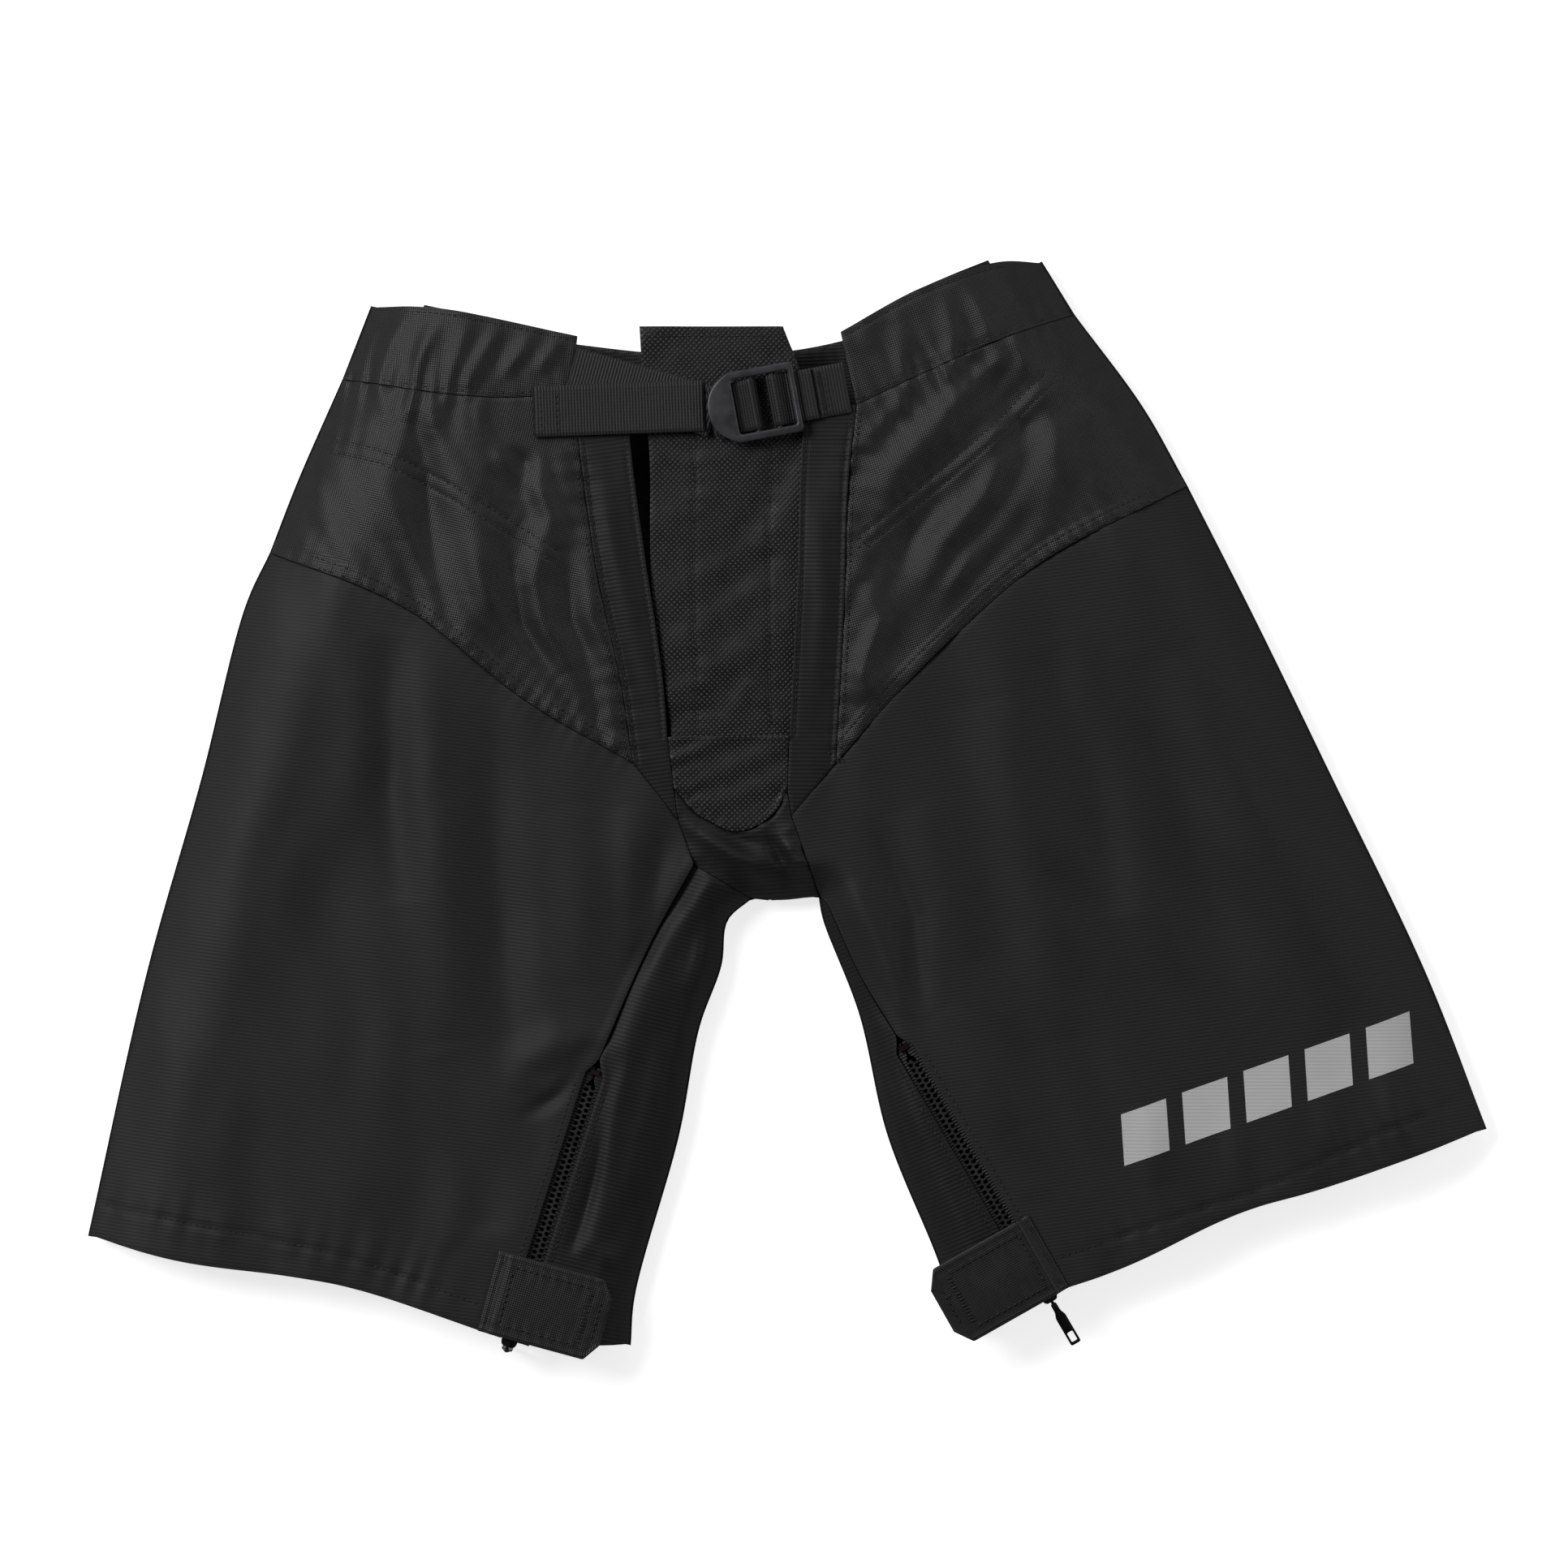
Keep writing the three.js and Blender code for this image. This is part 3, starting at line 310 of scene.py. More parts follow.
# %% Folds of the front: a line, how wide, and how high or how deep
front_folds = [
    # yoke, right
    ([(-168, 194), (-157, 164), (-150, 135), (-150, 103), (-157, 77)], 8, 3.2),
    ([(-184, 194), (-177, 164), (-176, 135), (-174, 109)], 5, -2.8),
    ([(-198, 186), (-195, 160), (-193, 130)], 9, 1.4),
    ([(-224, 193), (-227, 165), (-230, 138)], 8, 1.2),
    ([(-125, 170), (-116, 141), (-125, 109), (-118, 84), (-109, 65)], 5.5, 3.0),
    ([(-136, 198), (-130, 173), (-131, 150)], 5, -2.6),
    ([(-134, 119), (-130, 90), (-115, 65)], 3.5, -2.2),
    ([(-147, 190), (-140, 172), (-120, 150)], 3.5, 1.8),
    ([(-99, 125), (-96, 90), (-80, 58)], 4.5, 1.8),
    ([(-107, 118), (-106, 92), (-94, 70)], 3.5, -1.8),
    ([(-198, 207), (-199, 192)], 2.6, 1.4),
    ([(-186, 204), (-188, 188)], 2.6, 1.4),
    ([(-172, 203), (-174, 185)], 3, 1.8),
    ([(-152, 200), (-148, 182)], 3, 1.6),
    ([(-138, 198), (-134, 181)], 2.6, 1.2),
    # band, right
    ([(-188, 241), (-195, 229), (-200, 212)], 2.6, 1.3),
    ([(-172, 239), (-178, 227), (-185, 209)], 2.8, 1.6),
    ([(-157, 237), (-162, 221), (-167, 207)], 2.6, 1.2),
    ([(-142, 234), (-151, 219), (-158, 204)], 2.8, 1.5),
    ([(-126, 231), (-135, 217), (-142, 203)], 2.8, 1.4),
    ([(-113, 228), (-121, 215), (-126, 203)], 2.6, 1.2),
    ([(-204, 238), (-210, 226), (-215, 214)], 3, 1.0),
    # yoke, left
    ([(88, 212), (77, 186), (55, 166), (45, 150)], 7, 2.6),
    ([(97, 214), (116, 188), (112, 166)], 7, -2.2),
    ([(110, 188), (97, 153), (77, 130), (68, 105)], 5.5, 2.8),
    ([(80, 156), (61, 130), (55, 114)], 4.5, -2.2),
    ([(38, 110), (45, 91), (38, 71), (32, 54)], 4, 2.2),
    ([(143, 214), (162, 186), (175, 163)], 8, 1.8),
    ([(128, 190), (134, 165), (124, 142)], 5, 1.6),
    ([(92, 126), (78, 103)], 3.5, 1.6),
    ([(52, 205), (44, 190), (40, 172)], 4, 1.6),
    ([(34, 71), (40, 58), (54, 66)], 4, 1.6),
    ([(78, 220), (81, 207)], 2.6, 1.4),
    ([(112, 231), (119, 215)], 3, 1.4),
    ([(54, 207), (57, 193)], 2.6, 1.2),
    # band, left
    ([(54, 237), (57, 223), (54, 207)], 3, 1.2),
    ([(77, 248), (82, 231), (81, 218)], 3, 1.5),
    ([(91, 252), (98, 237), (99, 225)], 2.8, 1.3),
    ([(109, 262), (113, 247), (117, 231)], 3, 1.5),
    ([(37, 228), (40, 215)], 3, 1.0),
    # leg, right
    ([(-176, 88), (-176, 44), (-174, -6), (-168, -61), (-165, -116)], 10, 3.0),
    ([(-193, 84), (-197, 49), (-196, 11), (-190, -49)], 7, -3.2),
    ([(-140, 66), (-146, 11), (-143, -45), (-137, -100), (-126, -138)], 9, -2.8),
    ([(-108, 0), (-100, -50), (-101, -89)], 10, 1.8),
    ([(-134, -142), (-129, -126), (-114, -117), (-96, -118)], 7, 2.6),
    ([(-128, -152), (-112, -143), (-95, -128)], 2.2, -2.4),
    ([(-170, -122), (-156, -172), (-145, -216)], 9, -1.6),
    ([(-250, 66), (-269, -23), (-289, -111), (-300, -183)], 20, 1.6),
    ([(-222, 55), (-233, -34), (-247, -127)], 16, -1.4),
    ([(-79, 0), (-76, -34), (-79, -72)], 6, 1.6),
    ([(-62, -14), (-65, -39), (-71, -61)], 4, -1.6),
    ([(-250, -202), (-247, -224)], 4, 1.0),
    ([(-283, -199), (-280, -217)], 4, 0.9),
    ([(-206, -210), (-203, -232)], 4, 1.0),
    # leg, left
    ([(30, -36), (48, -70), (61, -106)], 4.5, 2.8),
    ([(45, -11), (62, -55), (66, -104)], 4, -2.6),
    ([(62, 0), (81, -39), (91, -78)], 8, 1.8),
    ([(98, 52), (112, -6), (128, -56), (139, -116)], 11, 2.6),
    ([(130, 80), (150, 11), (164, -55)], 9, -2.6),
    ([(196, 76), (226, 0), (254, -67), (273, -111)], 12, 2.6),
    ([(170, 75), (197, -11), (216, -72), (225, -106)], 10, -2.4),
    ([(73, -103), (98, -133), (112, -161)], 8, 1.6),
    ([(112, -100), (131, -149), (145, -194)], 8, -1.2),
    ([(176, -147), (182, -188)], 5, 1.3),
    ([(219, -155), (224, -187)], 5, 1.2),
    ([(263, -144), (269, -172)], 4, 1.2),
    ([(296, -133), (301, -161)], 4, 1.1),
    # crotch and inner thighs
    ([(-45, -13), (-26, -25), (-7, -31)], 3, 2.4),
    ([(-38, -29), (-19, -40), (-2, -42)], 3, -2.0),
    ([(-2, -11), (5, -25), (15, -34)], 3.5, 2.6),
    ([(-8, -14), (-3, -28), (4, -40)], 2.2, -2.0),
    ([(-30, -14), (-12, -20)], 2.2, -1.6),
    ([(-78, -84), (-60, -56), (-42, -30)], 3.5, -2.2),
    ([(-60, -66), (-74, -108), (-90, -150), (-96, -186)], 5.5, 1.1),
    ([(-90, -152), (-95, -180), (-102, -206), (-108, -222)], 2, -1.8),
    ([(-36, -44), (-39, -68), (-48, -98), (-60, -140)], 4, 1.2),
    ([(-46, -56), (-50, -82)], 3, -1.8),
    ([(-94, -216), (-82, -244)], 3, 1.8),
    ([(-74, -190), (-84, -222)], 3.5, -1.4),
    ([(38, -104), (49, -140), (66, -186)], 3.5, 1.8),
    ([(46, -118), (55, -150), (70, -190)], 2.4, -1.6),
    # tongue and fly strips
    ([(-50, 165), (-35, 178), (-19, 173)], 5, 1.2),
    ([(-35, 110), (-18, 121), (-2, 118)], 6, -1.2),
    ([(-57, 88), (-35, 71), (-7, 77)], 6, 1.0),
    ([(-29, 44), (-18, 59), (-7, 44)], 4, 1.2),
    ([(-94, 176), (-87, 132), (-76, 88), (-65, 55)], 3.5, 1.0),
    ([(14, 154), (18, 99), (13, 44)], 4, 0.9),
]
calm_lines = [
    ([(-130, 193), (-41, 195), (-17, 199), (34, 206)], 15, 27),
    ([zip_hem_r, zip_head_r], 7, 17),
    ([zip_hem_l, zip_head_l], 7, 17),
    ([(-147, -239), (-89, -255)], 24, 34),
    ([(129, -220), (76, -249)], 24, 34),
]


def calm(x, y):
    hold = np.ones(x.shape)
    for line, inside, outside in calm_lines:
        hold *= smooth_step((near(line, x, y)[0] - inside) / (outside - inside))
    return hold


def folds(table, x, y):
    z = np.zeros(x.shape)
    for points, width, height in table:
        away, place, length = near(points, x, y)
        taper = np.sin(np.pi * np.clip((place + 2) / (length + 4), 0, 1)) ** 0.7
        z += 1.4 * height * taper * np.exp(-((away / (1.3 * width + 0.8)) ** 2))
    return z


def ripple(x, y, scale, phase):
    total = np.zeros(x.shape)
    for k, (turn, length) in enumerate([(0.3, 1.0), (1.4, 0.71), (2.3, 0.83), (0.9, 0.47), (2.9, 0.55)]):
        total += np.sin(
            (x * math.cos(turn) + y * math.sin(turn)) * 2 * np.pi / (scale * length) + phase * (k + 1.7)
        )
    return total / 3


def crumple(x, y, turn, scale):
    """Uneven small folds that run along one direction, as in a cloth that was folded and shaken out."""
    along, across = x * math.cos(turn) + y * math.sin(turn), y * math.cos(turn) - x * math.sin(turn)
    t = (across + 7 * np.sin(along / 37 + 1) + 4 * np.sin(along / 19 + across / 29)) * 2 * np.pi / scale
    one = np.sin(t + 1.3 * np.sin(along / 43)) * (0.6 + 0.4 * np.sin(along / 31 + across / 23))
    two = np.sin(1.83 * t + 2 + 1.1 * np.sin(along / 27)) * (0.5 + 0.5 * np.sin(along / 24 - across / 17))
    return 0.7 * one + 0.5 * two


print(len(front_folds), "folds on the front")

# %% [markdown]
# ## Finishes
# Every cloth carries its own weave coordinates in millimetres, laid along its grain, in an attribute
# called "weave". So one finish fits every panel, whichever way that panel was cut. A weave is drawn
# with sine waves, which are cheap and repeat exactly, and noise breaks it up so that it looks woven.
# The threads of the real cloths are finer than a camera this far away can see, so each pattern is
# drawn at the pitch of its visible ribs or diamonds.


# %% Start of a finish, waves, and the end of a finish
def start_finish(name):
    made = bpy.data.materials.new(name)
    made.use_nodes = True
    tree = made.node_tree
    weave = add(tree, "ShaderNodeAttribute", {"attribute_name": "weave"})
    split = add(tree, "ShaderNodeSeparateXYZ", None, {0: weave.outputs["Vector"]})
    return made, tree, split.outputs[0], split.outputs[1], weave.outputs["Vector"]


def math_node(tree, operation, *values):
    return add(tree, "ShaderNodeMath", {"operation": operation}, dict(enumerate(values))).outputs[0]


def wave(tree, value, pitch):
    return math_node(tree, "SINE", math_node(tree, "MULTIPLY", value, 2 * math.pi / pitch))


def cloudy(tree, vector, size, detail=3.0):
    return add(
        tree, "ShaderNodeTexNoise", None, {"Vector": vector, "Scale": 1 / size, "Detail": detail},
    ).outputs[0]


def end_finish(tree, pattern, patches, dark, light, rough, depth, specular=0.5):
    """pattern is the weave's height from 0 to 1, patches a slow unevenness, depth in millimetres."""
    shader = tree.nodes["Principled BSDF"]
    mixed = math_node(
        tree, "ADD", math_node(tree, "MULTIPLY", pattern, 0.75), math_node(tree, "MULTIPLY", patches, 0.4),
    )
    ramp = add(tree, "ShaderNodeValToRGB", None, {0: mixed})
    ramp.color_ramp.elements[0].color = linear(dark)
    ramp.color_ramp.elements[1].color = linear(light)
    tree.links.new(ramp.outputs["Color"], shader.inputs["Base Color"])
    span = add(tree, "ShaderNodeMapRange", None, {"Value": patches, "To Min": rough[0], "To Max": rough[1]})
    tree.links.new(span.outputs[0], shader.inputs["Roughness"])
    bump = add(tree, "ShaderNodeBump", None, {"Height": pattern, "Distance": depth / 1000, "Strength": 1.0})
    tree.links.new(bump.outputs[0], shader.inputs["Normal"])
    shader.inputs["Specular IOR Level"].default_value = specular


# %% Coated nylon oxford: a small shiny diamond weave, 1.1 mm from diamond to diamond
OXFORD_PITCH = 2.2
oxford, tree, u, v, place = start_finish("coated_nylon_oxford")
one = wave(tree, math_node(tree, "ADD", u, v), OXFORD_PITCH)
other = wave(tree, math_node(tree, "SUBTRACT", u, v), OXFORD_PITCH)
diamond = math_node(tree, "MULTIPLY_ADD", math_node(tree, "MULTIPLY", one, other), 0.5, 0.5)
end_finish(tree, diamond, cloudy(tree, place, 9), "#070708", "#343436", (0.38, 0.48), 0.16, 0.33)

# %% Polyester twill: a smooth matt cloth with fine ribs across the leg, 1.7 mm apart
RIB_PITCH = 1.7
twill, tree, u, v, place = start_finish("fine_ribbed_polyester")
rib = math_node(tree, "MULTIPLY_ADD", wave(tree, v, RIB_PITCH), 0.4, 0.5)
speckle = math_node(tree, "MULTIPLY", cloudy(tree, place, 0.9, 2), 0.35)
end_finish(
    tree, math_node(tree, "ADD", rib, speckle), cloudy(tree, place, 40), "#171718", "#2b2b2c", (0.58, 0.7),
    0.08, 0.34,
)

# %% Ribbed stretch knit: deeper ribs, 2 mm apart, for the fly strips, gusset and inner thighs
KNIT_PITCH = 2.0
knit, tree, u, v, place = start_finish("ribbed_stretch_knit")
rib = math_node(tree, "MULTIPLY_ADD", wave(tree, v, KNIT_PITCH), 0.5, 0.5)
stitch = math_node(tree, "MULTIPLY", wave(tree, u, 1.2), 0.12)
end_finish(
    tree, math_node(tree, "ADD", rib, stitch), cloudy(tree, place, 14), "#111112", "#242425", (0.52, 0.64),
    0.09, 0.3,
)

# %% Knitted mesh: shiny knots in staggered rows, 2.7 mm apart, over a dark open ground
MESH_PITCH = 2.7
mesh_knit, tree, u, v, place = start_finish("warp_knitted_mesh")
one = math_node(tree, "ABSOLUTE", wave(tree, math_node(tree, "ADD", u, v), 2 * MESH_PITCH))
other = math_node(tree, "ABSOLUTE", wave(tree, math_node(tree, "SUBTRACT", u, v), 2 * MESH_PITCH))
knot = math_node(tree, "POWER", math_node(tree, "MULTIPLY", one, other), 2.6)
end_finish(tree, knot, cloudy(tree, place, 7), "#090909", "#3c3c3f", (0.38, 0.5), 0.4, 0.34)

# %% Polyester webbing: cross ribs 1.5 mm apart along the strap, each broken by the warp threads
WEB_RIB = 1.5
webbing, tree, u, v, place = start_finish("woven_polyester_webbing")
warp = wave(tree, v, 1.6)
rib = wave(tree, math_node(tree, "MULTIPLY_ADD", warp, 0.04, u), WEB_RIB)
woven = math_node(
    tree, "ADD", math_node(tree, "MULTIPLY_ADD", rib, 0.42, 0.5), math_node(tree, "MULTIPLY", warp, 0.04),
)
end_finish(tree, woven, cloudy(tree, place, 6), "#070708", "#2b2b2d", (0.45, 0.58), 0.3, 0.3)

# %% Woven elastic and tape: fine ropes along the length, 1.8 mm apart
elastic, tree, u, v, place = start_finish("woven_elastic_tape")
rope = math_node(tree, "MULTIPLY_ADD", wave(tree, v, 1.8), 0.4, 0.5)
pick = math_node(tree, "MULTIPLY", wave(tree, u, 1.1), 0.15)
end_finish(
    tree, math_node(tree, "ADD", rope, pick), cloudy(tree, place, 8), "#101011", "#262627", (0.6, 0.75),
    0.2, 0.35,
)

# %% Hook and loop tape: a field of tiny hooks, about 1.2 mm apart
hook_tape, tree, u, v, place = start_finish("hook_and_loop_tape")
hooks = add(tree, "ShaderNodeTexVoronoi", None, {"Vector": place, "Scale": 1 / 1.2}).outputs["Distance"]
end_finish(tree, hooks, cloudy(tree, place, 5), "#0b0b0c", "#1f1f20", (0.7, 0.85), 0.3, 0.3)

# %% Bonded polyester thread: a tight glossy twist, 0.8 mm a turn
thread, tree, u, v, place = start_finish("bonded_polyester_thread")
twist = math_node(tree, "MULTIPLY_ADD", wave(tree, math_node(tree, "ADD", u, v), 0.8), 0.5, 0.5)
# The thread is drawn a little darker than the oxford and twill it is sewn into: partly the thread's own
# black, partly painted shade for the puckered holes it sits in.
end_finish(tree, twist, cloudy(tree, place, 4), "#0f0f10", "#29292a", (0.4, 0.5), 0.05, 0.5)

# %% White transfer film: a thin rubbery print, heat-pressed on to the cloth, with its ribs showing through
film, tree, u, v, place = start_finish("white_transfer_film")
rib = math_node(tree, "MULTIPLY_ADD", wave(tree, v, RIB_PITCH), 0.5, 0.5)
end_finish(tree, rib, cloudy(tree, place, 20), "#c9c9c9", "#dedede", (0.5, 0.6), 0.03, 0.3)


# %% [markdown]
# The hard pieces have no weave. Their pattern comes from their own place in space, in metres.


# %% Satin moulded acetal for the teeth, stops and buckle, and lacquered zinc for the sliders and pulls
def hard_finish(name, dark, light, rough, metal, grain, depth):
    made = bpy.data.materials.new(name)
    made.use_nodes = True
    tree = made.node_tree
    shader = tree.nodes["Principled BSDF"]
    where = add(tree, "ShaderNodeTexCoord").outputs["Object"]
    spots = cloudy(tree, where, grain / 1000, 4)
    wear = cloudy(tree, where, 0.006, 2)
    ramp = add(tree, "ShaderNodeValToRGB", None, {0: wear})
    ramp.color_ramp.elements[0].position, ramp.color_ramp.elements[1].position = 0.3, 0.75
    ramp.color_ramp.elements[0].color, ramp.color_ramp.elements[1].color = linear(dark), linear(light)
    tree.links.new(ramp.outputs["Color"], shader.inputs["Base Color"])
    span = add(tree, "ShaderNodeMapRange", None, {"Value": spots, "To Min": rough[0], "To Max": rough[1]})
    tree.links.new(span.outputs[0], shader.inputs["Roughness"])
    bump = add(tree, "ShaderNodeBump", None, {"Height": spots, "Distance": depth / 1000, "Strength": 0.6})
    tree.links.new(bump.outputs[0], shader.inputs["Normal"])
    shader.inputs["Metallic"].default_value = metal
    return made


acetal = hard_finish("satin_black_acetal", "#262628", "#3a3a3c", (0.3, 0.42), 0.0, 0.5, 0.02)
buckle_acetal = hard_finish("satin_grey_acetal", "#373739", "#505053", (0.3, 0.42), 0.3, 0.4, 0.02)
lacquered_zinc = hard_finish("black_lacquered_zinc", "#3b3b3d", "#6a6a6c", (0.16, 0.3), 1.0, 0.6, 0.01)
stop_metal = hard_finish("brown_lacquered_metal", "#1d1512", "#33241d", (0.3, 0.4), 0.4, 0.5, 0.01)

# %% [markdown]
# ## Cutting a cloth panel
# A panel is a patch between four seams: the points inside are blended from its four edges. It gets an
# upper and a lower side and a thin rolled edge, so it is a real closed sheet. Blender's cloth solver is
# not used. These panels are held at every edge by their seams, and each fold has a known place, so
# moving the points by the fold table is exact and gives the same result each time.

# %% Build one object from points and faces
SHIFT = np.array([0.018, 2.059])


def build(name, points, faces, finish, weave=None, body="shell", nodes=(), angle=50):
    mesh = bpy.data.meshes.new(name)
    faces = faces if isinstance(faces, list) else faces.tolist()
    mesh.from_pydata((np.asarray(points) / 1000).tolist(), [], faces)
    if weave is not None:
        layer = mesh.attributes.new("weave", "FLOAT_VECTOR", "POINT")
        layer.data.foreach_set("vector", np.asarray(weave, np.float32).ravel())
    mesh.materials.append(finish)
    mesh.polygons.foreach_set("use_smooth", [True] * len(mesh.polygons))
    mesh.set_sharp_from_angle(angle=math.radians(angle))
    piece = bpy.data.objects.new(name, mesh)
    bpy.context.scene.collection.objects.link(piece)
    if body:
        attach(piece, body)
    if nodes:
        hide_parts(*nodes)
    return piece


def sheet_faces(columns, rows):
    """Faces of a closed sheet made of two grids of (columns + 1) x (rows + 1) points, upper side first."""
    layer = (columns + 1) * (rows + 1)
    k = np.arange(layer).reshape(rows + 1, columns + 1)
    a, b, c, d = (part.ravel() for part in (k[:-1, :-1], k[:-1, 1:], k[1:, 1:], k[1:, :-1]))
    upper = np.column_stack([a, b, c, d])
    lower = np.column_stack([a, d, c, b]) + layer
    rim = np.concatenate([k[0, :], k[1:, -1], k[-1, -2::-1], k[-2:0:-1, 0]])
    after = np.roll(rim, -1)
    wall = np.column_stack([rim, rim + layer, after + layer, after])
    return np.vstack([upper, lower, wall])


def grid_between(bottom, top, left, right, spacing, pull=0.22):
    length = lambda line: float(np.hypot(*np.diff(np.array(line, float), axis=0).T).sum())
    columns = max(4, int(round(max(length(bottom), length(top)) / spacing)))
    rows = max(4, int(round(max(length(left), length(right)) / spacing)))
    b, t, l, r = evenly(bottom, columns), evenly(top, columns), evenly(left, rows), evenly(right, rows)
    u = np.linspace(0, 1, columns + 1)[None, :, None]
    v = np.linspace(0, 1, rows + 1)[:, None, None]
    net = b[None] * (1 - v) + t[None] * v + l[:, None] * (1 - u) + r[:, None] * u
    net -= b[0] * (1 - u) * (1 - v) + b[-1] * u * (1 - v) + t[0] * (1 - u) * v + t[-1] * u * v
    inner = net.copy()
    for edge, beside in (
        (np.s_[:, 0], np.s_[:, 1]), (np.s_[:, -1], np.s_[:, -2]), (np.s_[0], np.s_[1]),
        (np.s_[-1], np.s_[-2]),
    ):
        way = net[beside] - net[edge]
        inner[edge] += way / np.linalg.norm(way, axis=-1, keepdims=True) * pull
    return inner, columns, rows


SEAM_GAP, TABLE_OVERLAP = 0.2, -0.5


def cloth_panel(node, edges, surface, finish, grain=0, spacing=2.0, thickness=1.2, lies_on="back_leg_right"):
    net, columns, rows = grid_between(*edges, spacing, TABLE_OVERLAP if lies_on == "table" else SEAM_GAP)
    x, y = net[..., 0].ravel(), net[..., 1].ravel()
    z = surface(x, y)
    rim = np.zeros((rows + 1, columns + 1), bool)
    rim[[0, -1], :] = rim[:, [0, -1]] = True
    soft = np.where(rim.ravel(), 0.3 * thickness, 0)
    upper = np.column_stack([x + SHIFT[0], y + SHIFT[1], z - soft])
    lower = np.column_stack([x + SHIFT[0], y + SHIFT[1], z - thickness + soft * 0.6])
    turn = math.radians(grain)
    weave = np.column_stack(
        [x * math.cos(turn) + y * math.sin(turn), y * math.cos(turn) - x * math.sin(turn), 0 * x]
    )
    piece = build(
        "cloth_" + node, np.vstack([upper, lower]), sheet_faces(columns, rows), finish,
        np.vstack([weave, weave]), nodes=[node],
    )
    return piece


# %% [markdown]
# ## Seams that pull the cloth
# A sewn edge is never flat. A turned edge stands up as a welt, a stitched line sinks, and the thread
# draws the cloth into small pleats beside it. Each of these is a function of the distance to a line.


# %% Welts, grooves and gathers
def beside(line, distance):
    """The same line, moved sideways. A positive distance moves it to its left."""
    line = np.array(line, float)
    way = np.gradient(line, axis=0)
    way /= np.linalg.norm(way, axis=1, keepdims=True)
    return line + np.column_stack([-way[:, 1], way[:, 0]]) * distance


def welt(line, width, height):
    def at(x, y):
        away = near(line, x, y)[0]
        return height * (1 - smooth_step((away - width) / 1.6))

    return at


def groove(line, depth, width=1.1):
    return lambda x, y: -depth * np.exp(-((near(line, x, y)[0] / width) ** 2))


def gather(line, pitch, depth, reach):
    def at(x, y):
        away, place, _ = near(line, x, y)
        phase = 2 * np.pi * place / pitch + 1.5 * np.sin(place / 23) + 0.9 * np.sin(place / 9.1 + 1)
        return depth * (0.65 + 0.35 * np.sin(place / 31 + 2)) * np.sin(phase) * np.exp(-away / reach)

    return at


def front_surface(*reliefs, depth=0.0, ripples=0.3, creases=(1.6, 60, 0.7)):
    def at(x, y):
        distance = from_silhouette(x, y)
        hold = calm(x, y) * rounded(np.minimum(*distance), 14)
        z = front_top(y, distance) - depth
        turn, apart, height = creases
        small = ripples * ripple(x, y, 90, 2.1)
        z += hold * (folds(front_folds, x, y) + small + height * crumple(x, y, turn, apart))
        flat = 0.25 + 0.75 * calm(x, y)
        for relief in reliefs:
            z += relief(x, y) * flat
        return z

    return at


def back_surface(*reliefs, height=0.0, thickness=1.2):
    def at(x, y):
        distance = np.minimum(*from_silhouette(x, y))
        lift = folds(back_folds, x, y) + 0.5 + 0.45 * ripple(x, y, 120, 0.7)
        z = back_bottom(distance) + thickness + height + rounded(distance, 10) * np.maximum(lift, 0)
        for relief in reliefs:
            z += np.maximum(relief(x, y), -0.2)
        return z

    return at

# %% [markdown]
# ## Front panels
# The legs are matt ribbed cloth. The yokes over the hips are a shinier, stronger oxford, sewn over the
# legs with a wide turned edge that stands up and puckers. Inner thighs, fly strips and gusset stretch.

# %% Lines that are stitched
slant_r = seam((-232, 183), (-196, 173), (-164, 157), (-112, 125))
slant_l = seam((36, 133), (92, 179), (128, 214))
hem_line_r = seam((-341, -197), (-290, -207), (-220, -222), (-152, -246))
hem_line_l = seam((134, -223), (180, -207), (240, -186), (290, -163), (337, -143))
tongue_line_r, tongue_line_l = seam((-45, 198), (-46, 110), (-44, 40)), seam((-8, 181), (-9, 100), (-8, 38))
pocket_head = seam(pocket_head_r, pocket_head_l)
band_end_r, band_end_l = seam((-106, 205), (-103, 231)), seam((34, 197), (26, 233))
strip_head_r, strip_head_l = seam((-106, 205), (-79, 205)), seam((8, 197), (34, 197))

# %% Pairs of seams, and how far each row of stitches lies from its seam
def pair(right, left):
    return {"right": right, "left": left}


yoke_seam, band_seam = pair(yoke_seam_r, yoke_seam_l), pair(band_seam_r, band_seam_l)
waist_edge, thigh_seam = pair(waist_edge_r, waist_edge_l), pair(thigh_seam_r, thigh_seam_l)
slant, hem_line = pair(slant_r, slant_l), pair(hem_line_r, hem_line_l)
fly_outer, fly_inner = pair(fly_outer_r, fly_outer_l), pair(fly_inner_r, fly_inner_l)
zip_leg, zip_thigh = pair(zip_leg_r, zip_leg_l), pair(zip_thigh_r, zip_thigh_l)
left_of_line = pair(1, -1)
YOKE_ROW_NEAR, YOKE_ROW_FAR, SLANT_ROW, STRIP_ROW, ZIP_ROW = 1.6, 6.0, -6, 2.4, 3.4
BAND_ROW, WAIST_ROW, POCKET_HEAD_ROW = 2.4, -2.8, -1.8
# creases are a direction in radians, a distance from one to the next, and a height
yoke_creases = pair((-1.25, 27, 0.9), (1.0, 27, 0.9))
leg_creases = pair((1.5, 70, 1.1), (2.1, 70, 1.3))
thigh_creases = pair((1.25, 30, 0.8), (2.0, 30, 0.8))
band_pucker = pair(1.4, 1.2)
print("rows of stitches", YOKE_ROW_NEAR, "and", YOKE_ROW_FAR, "mm from the yoke seam")

